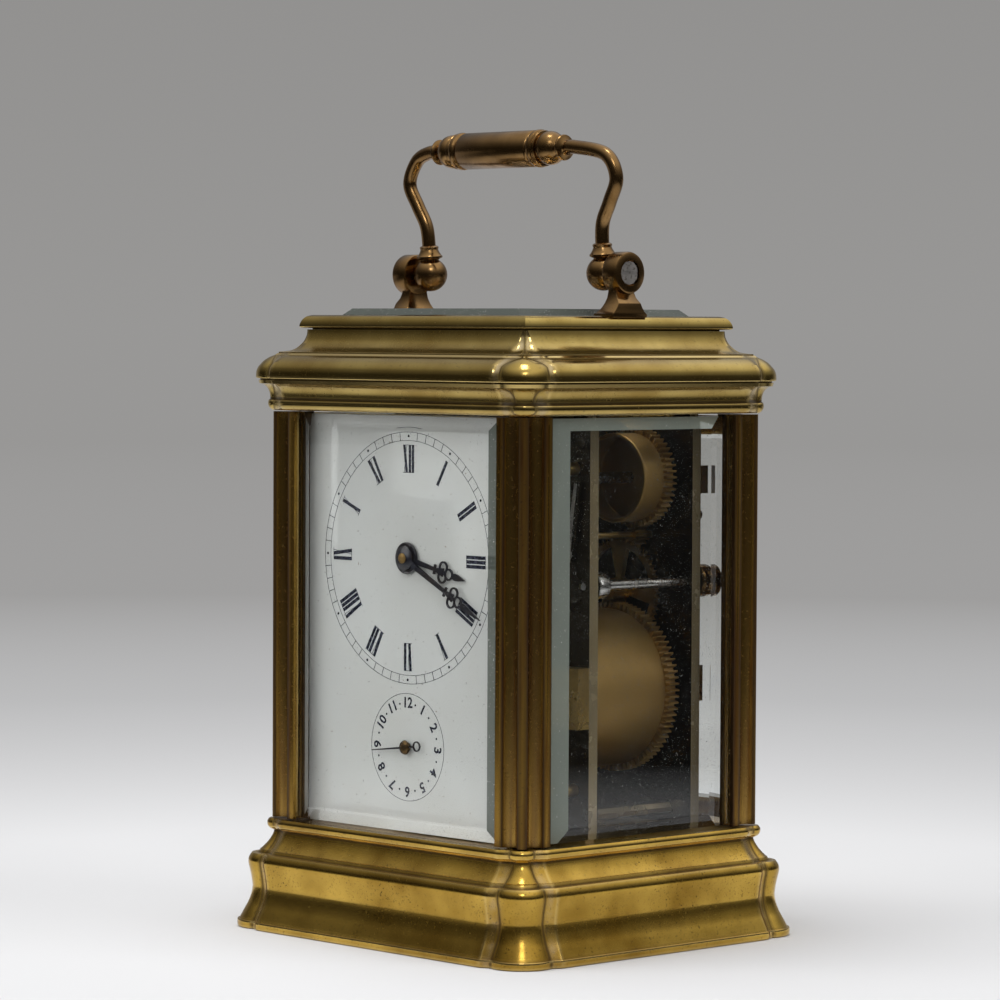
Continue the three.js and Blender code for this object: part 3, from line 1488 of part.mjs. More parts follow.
function balanceCock() {
  const [x, y] = balanceAt;
  const bottom = platformTop + balanceCockLift;
  const side = balanceCockShares.map(([along, wide]) => {
    return [x + along * balanceCockReach, wide * balanceCockFoot];
  });
  const outline = [
    ...side.map(([u, half]) => [u, y - half]), ...side.map(([u, half]) => [u, y + half]).reverse(),
  ];
  const foot = box(
    [x + balanceRadius + 6 * fit, y - balanceCockFoot, platformTop + seatGap],
    [x + balanceCockReach, y + balanceCockFoot, bottom + fit],
  );
  return standing(outline, bottom, bottom + balanceCockThickness).add(foot);
}

function hairspring() {
  const bottom = platformTop + balanceLift - springDrop;
  const spiral = (shift) => Array.from({ length: springSteps + 1 }, (_, i) => {
    const share = i / springSteps;
    return polar(balanceAt, springStart + springSpread * share + shift, turn * springTurns * share);
  });
  const outline = [...spiral(0), ...spiral(springWall).reverse()];
  return standing(outline, bottom, bottom + springHeight);
}

const clock = new THREE.Group();
const handleGroup = new THREE.Group();
handleGroup.position.z = pivotHeight;
handleGroup.rotation.x = handleLean;
clock.add(handleGroup);

function addCase() {
  clock.add(piece('base_moulding', baseMoulding(), gold));
  clock.add(piece('base_plate', basePlate(), bronze));
  for (const [name, sideX, sideY] of [
    ['pillar_front_left', -1, -1], ['pillar_front_right', 1, -1],
    ['pillar_back_left', -1, 1], ['pillar_back_right', 1, 1],
  ]) {
    clock.add(piece(name, pillar(sideX, sideY), gold));
  }
  clock.add(piece('cornice_moulding', corniceMoulding(), gold));
  clock.add(piece('top_frame', topFrame(), gold));
  clock.add(glassPiece('top_glass', topGlass()));
  clock.add(glassPiece('front_glass', frontGlass()));
  clock.add(glassPiece('left_glass', sideGlass(-1)));
  clock.add(glassPiece('right_glass', sideGlass(1)));
  clock.add(piece('door_frame', doorFrame(), gold));
  clock.add(glassPiece('door_glass', doorGlass()));
  clock.add(piece('door_knob', doorKnob(), gold));
}

function addHandle() {
  clock.add(piece('left_lug', lug(-1), bronze));
  clock.add(piece('right_lug', lug(1), bronze));
  clock.add(piece('left_pivot_screw', pivotScrew(-1), steel));
  clock.add(piece('right_pivot_screw', pivotScrew(1), steel));
  handleGroup.add(piece('handle_arm_left', handleArm(-1), bronze));
  handleGroup.add(piece('handle_arm_right', handleArm(1), bronze));
  handleGroup.add(piece('handle_grip', handleGrip(), bronze));
}

function addDial() {
  clock.add(piece('dial_plate', dialPlate(), enamel, 0.3, 0));
  clock.add(piece('hour_hand', hourHand(), blued));
  clock.add(piece('minute_hand', minuteHand(), blued));
  clock.add(piece('alarm_hand', alarmHand(), blued));
}

function addMovement() {
  clock.add(piece('front_plate', frontPlate(), gold));
  clock.add(piece('back_plate', backPlate(), gold));
  clock.add(piece('going_barrel', goingBarrel(), gold));
  clock.add(piece('barrel_arbor', barrelArbor(), steel));
  clock.add(piece('ratchet_wheel', ratchetWheel(), steel));
  clock.add(piece('barrel_cock', barrelCock(), gold));
  clock.add(piece('click_plate', barrelClick(), gold));
  clock.add(piece('intermediate_wheel', intermediateWheel(), gold));
  clock.add(piece('centre_wheel', centreWheel(), gold));
  clock.add(piece('third_wheel', thirdWheel(), gold));
  clock.add(piece('contrate_wheel', contrateWheel(), gold));
  clock.add(piece('cannon_pinion', cannonPinion(), steel));
  clock.add(piece('minute_wheel', minuteWheel(), gold));
  clock.add(piece('hour_wheel', hourWheel(), gold));
}

function addAlarm() {
  clock.add(piece('alarm_barrel', alarmBarrel(), gold));
  clock.add(piece('alarm_escape_wheel', alarmEscapeWheel(), gold));
  clock.add(piece('alarm_setting_arbor', alarmSettingArbor(), gold));
  clock.add(piece('alarm_wheel', alarmWheel(), gold));
  clock.add(piece('stop_knob', stopKnob(), bronze));
  clock.add(piece('alarm_lever', alarmLever(), steel));
  clock.add(piece('alarm_hammer', hammer(), steel));
  clock.add(piece('alarm_bell', alarmBell(), gold));
  clock.add(piece('bell_post', bellPost(), steel));
  clock.add(piece('back_cock', backCock(), gold));
  clock.add(piece('back_screw', backScrew(), steel));
}

function addPlatform() {
  clock.add(piece('platform_plate', platformPlate(), gold));
  clock.add(piece('escape_wheel', escapeWheel(), gold));
  clock.add(piece('pallet_lever', palletLever(), steel));
  clock.add(piece('balance_wheel', balanceWheel(), gold));
  clock.add(piece('balance_cock', balanceCock(), gold));
  clock.add(piece('hairspring', hairspring(), steel));
}

addCase();
addHandle();
addDial();
addMovement();
addAlarm();
addPlatform();

export default clock;
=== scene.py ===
import math

import bmesh
import bpy
from mathutils import Matrix, Vector


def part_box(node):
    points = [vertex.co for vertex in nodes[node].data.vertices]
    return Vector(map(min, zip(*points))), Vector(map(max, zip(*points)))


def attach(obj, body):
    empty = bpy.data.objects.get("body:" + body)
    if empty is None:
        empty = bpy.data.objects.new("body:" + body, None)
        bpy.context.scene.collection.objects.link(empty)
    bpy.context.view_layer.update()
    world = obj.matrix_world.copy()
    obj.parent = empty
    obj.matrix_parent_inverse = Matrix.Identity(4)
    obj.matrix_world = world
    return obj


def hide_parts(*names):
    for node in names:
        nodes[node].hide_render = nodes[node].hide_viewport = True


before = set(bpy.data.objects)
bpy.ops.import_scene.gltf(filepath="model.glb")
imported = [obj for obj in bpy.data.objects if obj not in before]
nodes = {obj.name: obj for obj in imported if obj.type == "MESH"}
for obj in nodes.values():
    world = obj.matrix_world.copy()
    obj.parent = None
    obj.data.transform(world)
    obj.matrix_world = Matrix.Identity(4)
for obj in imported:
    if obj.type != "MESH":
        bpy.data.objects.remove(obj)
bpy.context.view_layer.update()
mm = 0.001
print("frame loaded:", len(nodes), "nodes")


# Camera: it stands low in front of the corner between the dial and the right side
cameraPlace = {
    "lens": 151.2,
    "sensor": 36.0,
    "azimuth": 46.72,
    "elevation": 2.34,
    "distance": 944.31,
    "aimX": -3.18,
    "aimZ": 97.07,
    "roll": 0.28,
    "clipStart": 0.02,
    "clipEnd": 30,
}


def addCamera(place):
    azimuth, elevation, roll = (math.radians(place[k]) for k in ("azimuth", "elevation", "roll"))
    back = Vector((math.sin(azimuth) * math.cos(elevation),
                   -math.cos(azimuth) * math.cos(elevation), math.sin(elevation)))
    right = Vector((math.cos(azimuth), math.sin(azimuth), 0))
    up = back.cross(right)
    rolledRight = right * math.cos(roll) + up * math.sin(roll)
    rolledUp = up * math.cos(roll) - right * math.sin(roll)
    spot = right * place["aimX"] + Vector((0, 0, place["aimZ"])) + back * place["distance"]
    data = bpy.data.cameras.new("camera")
    data.lens = place["lens"]
    data.sensor_width = place["sensor"]
    data.clip_start = place["clipStart"]
    data.clip_end = place["clipEnd"]
    camera = bpy.data.objects.new("camera", data)
    turn = Matrix((rolledRight, rolledUp, back)).transposed().to_4x4()
    camera.matrix_world = Matrix.Translation(spot * mm) @ turn
    bpy.context.collection.objects.link(camera)
    bpy.context.scene.camera = camera


addCamera(cameraPlace)
print("camera placed")


# Shader tools: a wire is one value in a node tree, and sums of wires add Math nodes
class Wire:
    def __init__(self, tree, socket):
        self.tree = tree
        self.socket = socket

    def math(self, operation, first, second=None):
        node = self.tree.nodes.new("ShaderNodeMath")
        node.operation = operation
        for slot, value in enumerate((first, second)):
            if isinstance(value, Wire):
                self.tree.links.new(value.socket, node.inputs[slot])
            elif value is not None:
                node.inputs[slot].default_value = value
        return Wire(self.tree, node.outputs[0])

    def __add__(self, other):
        return self.math("ADD", self, other)

    def __radd__(self, other):
        return self.math("ADD", other, self)

    def __sub__(self, other):
        return self.math("SUBTRACT", self, other)

    def __rsub__(self, other):
        return self.math("SUBTRACT", other, self)

    def __mul__(self, other):
        return self.math("MULTIPLY", self, other)

    def __rmul__(self, other):
        return self.math("MULTIPLY", other, self)

    def __truediv__(self, other):
        return self.math("DIVIDE", self, other)

    def least(self, other):
        return self.math("MINIMUM", self, other)

    def most(self, other):
        return self.math("MAXIMUM", self, other)


class Finish:
    def __init__(self, name):
        self.material = bpy.data.materials.new(name)
        self.material.use_nodes = True
        self.tree = self.material.node_tree
        self.tree.nodes.clear()

    def node(self, kind, settings=None, inputs=None, output=0):
        made = self.tree.nodes.new("ShaderNode" + kind)
        for key, value in (settings or {}).items():
            if key == "stops":
                self.setStops(made.color_ramp, value)
            else:
                setattr(made, key, value)
        for key, value in (inputs or {}).items():
            if isinstance(value, Wire):
                self.tree.links.new(value.socket, made.inputs[key])
            else:
                made.inputs[key].default_value = value
        return Wire(self.tree, made.outputs[output])

    def setStops(self, ramp, stops):
        while len(ramp.elements) < len(stops):
            ramp.elements.new(1)
        for element, (place, colour) in zip(ramp.elements, stops):
            element.position = place
            element.color = (*colour, 1) if len(colour) == 3 else colour

    def place(self):
        return self.node("TexCoord", output="Object")

    def noise(self, scale, detail=2.0, roughness=0.5, stretch=(1, 1, 1), shift=(0, 0, 0)):
        spot = self.node("Mapping", None, {"Vector": self.place(), "Scale": stretch, "Location": shift})
        settings = {"noise_dimensions": "3D"}
        sizes = {"Vector": spot, "Scale": scale, "Detail": detail, "Roughness": roughness}
        return self.node("TexNoise", settings, sizes)

    def band(self, value, low, high, fromValue=0.0, toValue=1.0):
        ends = {"Value": value, "From Min": low, "From Max": high, "To Min": fromValue, "To Max": toValue}
        return self.node("MapRange", {"clamp": True}, ends)

    def blend(self, share, first, second):
        ends = {"Factor": share, 6: colourOf(first), 7: colourOf(second)}
        return self.node("Mix", {"data_type": "RGBA"}, ends, 2)

    def mark(self, name):
        return self.node("Attribute", {"attribute_name": name}, None, "Fac")

    def bump(self, height, strength, distance):
        return self.node("Bump", None, {"Height": height, "Strength": strength, "Distance": distance})

    def surface(self, shader):
        end = self.tree.nodes.new("ShaderNodeOutputMaterial")
        self.tree.links.new(shader.socket, end.inputs["Surface"])
        return self.material


def colourOf(value):
    return value if isinstance(value, Wire) else (*value, 1)


# Metals: tarnish lies in drifts. The creases are darkened, partly by tarnish and partly as painted
# shade; rubbed edges and shelves are brighter, partly from wear and partly as painted highlight; and
# the pale residue in the scoops is partly a painted sheen. A pair says where a pattern begins and
# ends, and the shares say how much it takes from the shine.
metalPattern = {
    "tarnish": (0.36, 0.66), "freckleWidth": 0.1, "grainShift": (3.1, 1.7, 0.4),
    "pitScale": 1900, "pitWidth": 0.04, "patchScale": 75, "patch": (0.42, 0.6), "patchLeast": 0.15,
    "crease": (0.15, 1.0), "rub": (0.2, 1.0), "side": (0.8, 0.95),
    "residueScale": 320, "residueAndSheen": (0.36, 0.62), "residueAndSheenTint": (0.62, 0.57, 0.52),
    "roughDrift": (0.3, 0.7), "creaseRough": 0.25, "freckleRough": 0.2, "rubPolish": 0.08,
    "freckleDulls": 0.3, "creaseDulls": 0.25, "residueDulls": 0.5, "sideDulls": 0.6,
    "grainHeight": 0.6, "speckHeight": 0.4, "roughLeast": 0.08, "roughMost": 0.85,
    "driftDetail": (3.0, 0.55), "speckDetail": (3.0, 0.7), "grainDetail": (2.0, 0.6), "residueDetail": 3.0,
}


def makeMetal(name, look):
    make, pattern = Finish(name), metalPattern
    drift = make.noise(look["driftScale"], *pattern["driftDetail"], look["driftStretch"])
    speck = make.noise(look["speckScale"], *pattern["speckDetail"])
    grain = make.noise(look["grainScale"], *pattern["grainDetail"], shift=pattern["grainShift"])
    crease = make.mark("crease")
    rub = make.mark("rub")
    tarnish = make.band(drift, *pattern["tarnish"]) * look["drift"]
    base = make.blend(tarnish, look["clean"], look["dull"])
    freckles = make.band(speck, look["speckLow"], look["speckLow"] + pattern["freckleWidth"]) * look["specks"]
    base = make.blend(freckles, base, look["dark"])
    pitNoise = make.noise(pattern["pitScale"], *pattern["grainDetail"])
    pits = make.band(pitNoise, look["pitLow"], look["pitLow"] + pattern["pitWidth"]) * look["pits"]
    pits = pits * make.band(make.noise(pattern["patchScale"]), *pattern["patch"], pattern["patchLeast"])
    base = make.blend(pits, base, look["dark"])
    # Painted shade with tarnish: creases, seams and pillar ends take the dark colour
    base = make.blend(make.band(crease, *pattern["crease"]) * look["creaseShare"], base, look["dark"])
    # Pale residue in the scoops, partly real and partly a painted sheen
    residueAndSheen = make.band(make.noise(pattern["residueScale"], pattern["residueDetail"]), *pattern["residueAndSheen"])
    residueAndSheen = residueAndSheen * make.mark("scoop") * look["residueAndSheen"]
    base = make.blend(residueAndSheen, base, pattern["residueAndSheenTint"])
    # Painted highlight with wear: rubbed edges, convex bends and shelves take the bright colour
    base = make.blend(make.band(rub, *pattern["rub"]) * look["wearAndHighlightShare"], base, look["bright"])
    rough = look["roughness"] + look["roughSpread"] * (make.band(drift, *pattern["roughDrift"]) - 0.5)
    rough = rough + pattern["creaseRough"] * crease + pattern["freckleRough"] * freckles
    rough = rough - pattern["rubPolish"] * rub
    shine = 1.0 - pattern["freckleDulls"] * freckles - pattern["creaseDulls"] * crease
    metal = look["metal"] * (shine - pattern["residueDulls"] * residueAndSheen)
    # Painted light: faces turned along X take the lit edge colour, and faces turned to +Y the lit outside
    # colour
    if "edge" in look:
        across = make.node("SeparateXYZ", None, {"Vector": make.node("TexCoord", output="Normal")})
        side = make.band(across * across, *pattern["side"])
        base = make.blend(side, base, look["edge"])
        if "litOutside" in look:
            litOutside = Wire(make.tree, across.socket.node.outputs["Y"])
            base = make.blend(make.band(litOutside, *pattern["side"]), base, look["litOutside"])
        metal = metal * (1.0 - pattern["sideDulls"] * side)
    height = grain * pattern["grainHeight"] + speck * pattern["speckHeight"]
    shader = make.node("BsdfPrincipled", None, {
        "Base Color": base,
        "Metallic": metal,
        "Roughness": rough.most(pattern["roughLeast"]).least(pattern["roughMost"]),
        "Normal": make.bump(height, look["bump"], look["bumpDepth"] * mm),
    })
    return make.surface(shader)


caseBrassLook = {
    "clean": (0.42, 0.245, 0.045), "dull": (0.13, 0.045, 0.008), "dark": (0.03, 0.014, 0.006),
    "bright": (0.8, 0.58, 0.25), "driftScale": 620, "driftStretch": (1, 1, 0.05), "drift": 0.85,
    "speckScale": 1300, "speckLow": 0.6, "specks": 0.6, "grainScale": 2600, "creaseShare": 0.9,
    "wearAndHighlightShare": 0.5, "roughness": 0.22, "roughSpread": 0.12, "bump": 0.12, "bumpDepth": 0.05,
    "pits": 0.0, "pitLow": 0.7, "residueAndSheen": 0.0, "metal": 1.0,
}
mouldBrassLook = {
    **caseBrassLook, "clean": (0.5, 0.365, 0.11), "dull": (0.3, 0.19, 0.04), "bright": (0.85, 0.64, 0.26),
    "driftScale": 55, "driftStretch": (1, 1, 1), "creaseShare": 0.8, "roughness": 0.2, "specks": 0.4,
    "pits": 0.3, "residueAndSheen": 0.3,
}
baseBrassLook = {
    **mouldBrassLook, "clean": (0.62, 0.4, 0.075), "dull": (0.25, 0.135, 0.014), "pits": 0.8, "pitLow": 0.63,
    "residueAndSheen": 0.15,
}
handleBrassLook = {
    **caseBrassLook, "clean": (0.31, 0.185, 0.075), "dull": (0.15, 0.08, 0.025), "bright": (0.7, 0.52, 0.3),
    "driftScale": 120, "driftStretch": (1, 1, 1), "drift": 0.7, "specks": 0.2, "bump": 0.06,
}
darkBronzeLook = {**handleBrassLook, "clean": (0.14, 0.085, 0.035), "dull": (0.07, 0.04, 0.015)}
movementBrassLook = {
    **caseBrassLook, "clean": (0.5, 0.34, 0.12), "dull": (0.28, 0.19, 0.07), "bright": (0.85, 0.65, 0.3),
    "driftScale": 120, "driftStretch": (1, 1, 1), "roughness": 0.3, "specks": 0.25, "grainScale": 900,
    "bump": 0.16,
}
drumBrassLook = {
    **movementBrassLook, "clean": (0.38, 0.24, 0.085), "driftScale": 40, "drift": 0.5, "roughness": 0.56,
    "specks": 0.12, "bump": 0.08,
}
# Movement plates: their brass is painted dark as the shade inside the case, and the faces turned to the
# sides, with the back plate's outer face, are painted lighter as lit
shadedPlateLook = {
    **movementBrassLook, "clean": (0.055, 0.043, 0.024), "dull": (0.025, 0.019, 0.01), "roughness": 0.24,
    "edge": (0.24, 0.19, 0.11),
}
shadedBackPlateLook = {**shadedPlateLook, "litOutside": (0.42, 0.3, 0.13)}
steelLook = {
    **caseBrassLook, "clean": (0.5, 0.49, 0.48), "dull": (0.3, 0.28, 0.26), "dark": (0.05, 0.035, 0.025),
    "bright": (0.85, 0.85, 0.85), "driftScale": 300, "driftStretch": (1, 1, 1), "roughness": 0.25,
}
screwLook = {
    **steelLook, "clean": (0.36, 0.34, 0.32), "dull": (0.2, 0.19, 0.18), "metal": 0.55, "roughness": 0.42,
    "speckScale": 1000, "specks": 0.85, "speckLow": 0.54,
}
caseBrass = makeMetal("case brass", caseBrassLook)
mouldBrass = makeMetal("moulding brass", mouldBrassLook)
baseBrass = makeMetal("pitted base brass", baseBrassLook)
handleBrass = makeMetal("handle brass", handleBrassLook)
darkBronze = makeMetal("dark bronze", darkBronzeLook)
movementBrass = makeMetal("movement brass", movementBrassLook)
drumBrass = makeMetal("drum brass", drumBrassLook)
shadedPlateBrass = makeMetal("plate brass", shadedPlateLook)
shadedBackPlateBrass = makeMetal("back plate brass", shadedBackPlateLook)
steel = makeMetal("steel", steelLook)
screwSteel = makeMetal("worn screw heads", screwLook)


# Blued steel, enamel and printed ink
bluedLook = {
    "clean": (0.012, 0.013, 0.022), "warm": (0.024, 0.016, 0.014), "roughness": 0.3, "drift": (0.35, 0.7),
    "driftScale": 260, "roughSpread": 0.1, "metal": 0.4, "coat": 0.5, "grainScale": 3000, "bump": (0.1, 0.03),
}


def makeBlued(look):
    make = Finish("blued steel")
    drift = make.band(make.noise(look["driftScale"]), *look["drift"])
    strength, depth = look["bump"]
    shader = make.node("BsdfPrincipled", None, {
        "Base Color": make.blend(drift, look["clean"], look["warm"]),
        "Roughness": look["roughness"] + look["roughSpread"] * drift,
        "Metallic": look["metal"],
        "Coat Weight": look["coat"],
        "Normal": make.bump(make.noise(look["grainScale"]), strength, depth * mm),
    })
    return make.surface(shader)


enamelLook = {
    "clean": (0.64, 0.65, 0.64), "stain": (0.5, 0.48, 0.42), "speck": (0.25, 0.2, 0.15),
    "driftScale": 40, "drift": (0.4, 0.75), "driftShare": 0.25, "roughness": 0.16, "roughSpread": 0.1,
    "speckScale": 1300, "speckBand": (0.76, 0.8), "speckShare": 0.7, "coat": 0.3,
    "waveScale": 90, "bump": (0.05, 0.05), "driftDetail": 3.0, "speckDetail": (1.0, 0.4),
}


def makeEnamel(look):
    make = Finish("white enamel")
    drift = make.band(make.noise(look["driftScale"], look["driftDetail"]), *look["drift"])
    drift = drift * look["driftShare"]
    speck = make.band(make.noise(look["speckScale"], *look["speckDetail"]), *look["speckBand"])
    speck = speck * look["speckShare"]
    base = make.blend(drift, look["clean"], look["stain"])
    strength, depth = look["bump"]
    shader = make.node("BsdfPrincipled", None, {
        "Base Color": make.blend(speck, base, look["speck"]),
        "Roughness": look["roughness"] + look["roughSpread"] * drift,
        "Coat Weight": look["coat"],
        "Normal": make.bump(make.noise(look["waveScale"]), strength, depth * mm),
    })
    return make.surface(shader)


inkLook = {
    "clean": (0.009, 0.012, 0.028), "thin": (0.03, 0.034, 0.06), "wornScale": 1800, "inkWearOrShelfLight": (0.5, 0.75),
    "roughness": 0.25, "roughSpread": 0.15,
}


def makeInk(look):
    make = Finish("dial black")
    inkWearOrShelfLight = make.band(make.noise(look["wornScale"]), *look["inkWearOrShelfLight"])
    shader = make.node("BsdfPrincipled", None, {
        "Base Color": make.blend(inkWearOrShelfLight, look["clean"], look["thin"]),
        "Roughness": look["roughness"] + look["roughSpread"] * inkWearOrShelfLight,
    })
    return make.surface(shader)


# Glass: clear where it is clean, dusty in dots, in fine specks and in a thin film. A bevel is
# greyed by frost, which stands for the many small reflections in its slope.
glassLook = {
    "tint": (0.97, 0.985, 0.975), "dust": (0.42, 0.42, 0.4), "dots": 0.5, "film": 0.012, "shadowTint": 0.96,
    "frost": (0.4, 0.46, 0.41), "frostShare": 0.0, "fine": 0.0, "index": 1.5, "dustRough": 0.6,
    "dotScale": 2300, "dotBand": (0.76, 0.79), "fineScale": 3300, "fineBand": (0.7, 0.73),
    "patchScale": 140, "patch": (0.35, 0.65), "filmScale": 60, "filmBand": (0.5, 0.85),
    "cloudScale": 90, "cloud": (0.3, 0.7, 0.95, 1.0),
    "dotDetail": (1.0, 0.3), "filmDetail": (4.0, 0.65), "cloudDetail": 3.0,
}
sideGlassLook = {**glassLook, "fine": 0.4, "film": 0.003}
bevelLook = {**glassLook, "tint": (0.9, 0.95, 0.91), "frost": (0.25, 0.285, 0.245), "frostShare": 0.7}
frontBevelLook = {**bevelLook, "frost": (0.075, 0.09, 0.072), "frostShare": 0.85}
topBevelLook = {**bevelLook, "frost": (0.07, 0.08, 0.07), "frostShare": 0.8}


def makeGlass(name, look):
    make = Finish(name)
    dots = make.band(make.noise(look["dotScale"], *look["dotDetail"]), *look["dotBand"])
    fine = make.band(make.noise(look["fineScale"], *look["dotDetail"]), *look["fineBand"])
    fine = fine * make.band(make.noise(look["patchScale"]), *look["patch"])
    film = make.band(make.noise(look["filmScale"], *look["filmDetail"]), *look["filmBand"])
    cloud = make.band(make.noise(look["cloudScale"], look["cloudDetail"]), *look["cloud"])
    clear = make.node("BsdfPrincipled", None, {
        "Base Color": (*look["tint"], 1), "Roughness": 0.0, "IOR": look["index"], "Transmission Weight": 1.0,
    })
    grey = make.blend(dots.most(fine), look["frost"], look["dust"])
    dusty = make.node("BsdfPrincipled", None, {"Base Color": grey, "Roughness": look["dustRough"]})
    through = make.node("BsdfTransparent", None, {"Color": (look["shadowTint"],) * 3 + (1,)})
    dirt = dots * look["dots"] + fine * look["fine"] + film * look["film"] + cloud * look["frostShare"]
    solid = make.node("MixShader", None, {"Fac": dirt.least(1.0), 1: clear, 2: dusty})
    shadow = make.node("LightPath", output="Is Shadow Ray")
    return make.surface(make.node("MixShader", None, {"Fac": shadow, 1: solid, 2: through}))


bluedSteel = makeBlued(bluedLook)
enamel = makeEnamel(enamelLook)
dialBlack = makeInk(inkLook)
glass = makeGlass("clear glass", glassLook)
sideGlass = makeGlass("dusty side glass", sideGlassLook)
bevelGlass = makeGlass("bevelled edge", bevelLook)
frontBevelGlass = makeGlass("front bevelled edge", frontBevelLook)
topBevelGlass = makeGlass("top bevelled edge", topBevelLook)
print("finishes made")


# Mesh helpers: all sizes in millimetres
def addMesh(name, points, faces, finish):
    mesh = bpy.data.meshes.new(name)
    mesh.from_pydata([Vector(p) * mm for p in points], [], faces)
    mesh.validate()
    mesh.materials.append(finish)
    thing = bpy.data.objects.new(name, mesh)
    bpy.context.collection.objects.link(thing)
    return thing


def turnOutward(thing, mergeAt=0.0):
    work = bmesh.new()
    work.from_mesh(thing.data)
    if mergeAt:
        bmesh.ops.remove_doubles(work, verts=work.verts, dist=mergeAt * mm)
    bmesh.ops.recalc_face_normals(work, faces=work.faces)
    work.to_mesh(thing.data)
    work.free()


def smooth(thing, angle=32):
    thing.data.shade_smooth()
    thing.data.set_sharp_from_angle(angle=math.radians(angle))
    return thing


def mark(thing, name, values):
    layer = thing.data.attributes.new(name, "FLOAT", "POINT")
    layer.data.foreach_set("value", values)


def settle(thing):
    shown = thing.evaluated_get(bpy.context.evaluated_depsgraph_get())
    mesh = bpy.data.meshes.new_from_object(shown)
    thing.modifiers.clear()
    old = thing.data
    thing.data = mesh
    bpy.data.meshes.remove(old)
    return thing


def cut(thing, tool):
    step = thing.modifiers.new("cut", "BOOLEAN")
    step.operation = "DIFFERENCE"
    step.solver = "EXACT"
    step.object = tool
    settle(thing)
    bpy.data.objects.remove(tool)
    return thing


def bevel(thing, width, segments=2, angle=40):
    step = thing.modifiers.new("bevel", "BEVEL")
    step.width = width * mm
    step.segments = segments
    step.limit_method = "ANGLE"
    step.angle_limit = math.radians(angle)
    return settle(thing)


def addBlock(name, low, high, finish):
    (x0, y0, z0), (x1, y1, z1) = low, high
    points = [(x0, y0, z0), (x1, y0, z0), (x1, y1, z0), (x0, y1, z0),
              (x0, y0, z1), (x1, y0, z1), (x1, y1, z1), (x0, y1, z1)]
    faces = [(0, 3, 2, 1), (4, 5, 6, 7), (0, 1, 5, 4), (1, 2, 6, 5), (2, 3, 7, 6), (3, 0, 4, 7)]
    return addMesh(name, points, faces, finish)


def curveThrough(points, steps):
    made = []
    for i in range(len(points) - 1):
        before = points[max(i - 1, 0)]
        after = points[min(i + 2, len(points) - 1)]
        start, end = points[i], points[i + 1]
        for k in range(steps):
            t = k / steps
            made.append(tuple(
                0.5 * (2 * b + (c - a) * t + (2 * a - 5 * b + 4 * c - d) * t * t
                       + (3 * b - a - 3 * c + d) * t ** 3)
                for a, b, c, d in zip(before, start, end, after)))
    made.append(tuple(points[-1]))
    return made


# A stack of like rings, with the crease and rub of every point: the crease carries painted shade, the rub
# painted highlight and wear
def loftRings(name, rings, finish, marks=None):
    count = len(rings[0])
    points = [p for ring in rings for p in ring]
    faces = []
    for level in range(len(rings) - 1):
        low, high = level * count, (level + 1) * count
        for i in range(count):
            j = (i + 1) % count
            faces.append((low + i, low + j, high + j, high + i))
    faces.append(tuple(reversed(range(count))))
    faces.append(tuple(range((len(rings) - 1) * count, len(rings) * count)))
    thing = addMesh(name, points, faces, finish)
    for key, values in (marks or {}).items():
        mark(thing, key, values)
    turnOutward(thing)
    return thing


# How hollow or proud each point of an open outline is, from -1 to 1, spread over a reach
def bends(outline, reach):
    turns = [0.0] * len(outline)
    for i in range(1, len(outline) - 1):
        (ax, ay), (bx, by), (cx, cy) = outline[i - 1], outline[i], outline[i + 1]
        first, second = math.atan2(by - ay, bx - ax), math.atan2(cy - by, cx - bx)
        turns[i] = (second - first + math.pi) % (2 * math.pi) - math.pi
    spread = []
    for (x, y) in outline:
        total = 0.0
        for (u, v), turn in zip(outline, turns):
            total += turn * math.exp(-((x - u) ** 2 + (y - v) ** 2) / (reach * reach))
        spread.append(max(-1.0, min(1.0, total)))
    return spread


# Case mouldings: the profile runs upwards as shares of the height and of the widest overhang,
# each run of points with the steps between them. Shelves are painted bright as highlight and
# seams are painted dark as shade.
caseSize = {
    "halfWidth": 41.6, "halfDepth": 36.7, "baseHeight": 24.6, "baseReach": 7.85,
    "corniceBottom": 117.0, "corniceHeight": 18.2, "corniceReach": 4.55,
    "pillarBottom": 24.9, "pillarTop": 116.7, "caseTop": 138.45, "bend": 0.35, "overrun": 1,
}
baseMould = {
    "runs": [
        (((0, 0.95), (0.008, 0.985), (0.025, 1), (0.062, 1), (0.074, 0.985)), 3),
        (((0.076, 0.95), (0.12, 0.885), (0.167, 0.815), (0.22, 0.735), (0.28, 0.67), (0.33, 0.635),
          (0.376, 0.618)), 3),
        (((0.384, 0.62), (0.46, 0.65), (0.53, 0.69), (0.575, 0.72), (0.61, 0.728), (0.645, 0.705),
          (0.683, 0.637)), 3),
        (((0.686, 0.47), (0.717, 0.425)), 1),
        (((0.72, 0.405), (0.76, 0.29), (0.8, 0.2), (0.85, 0.115), (0.888, 0.08)), 3),
        (((0.892, 0.1), (0.905, 0.175), (0.925, 0.235), (0.955, 0.257), (0.98, 0.245), (1, 0.203)), 3),
    ],
    "lobe": 1.8, "lobeGrowth": 0.95, "dip": 1.05, "edgeWearAndHighlight": 0.7,
    "litShelves": ((0.9, 0.93),), "shadedSeams": (),
    "wall": 5.4, "top": 3, "well": ((-24.5, -1), (-15.5, 13)),  # hollow from below, with a well
}
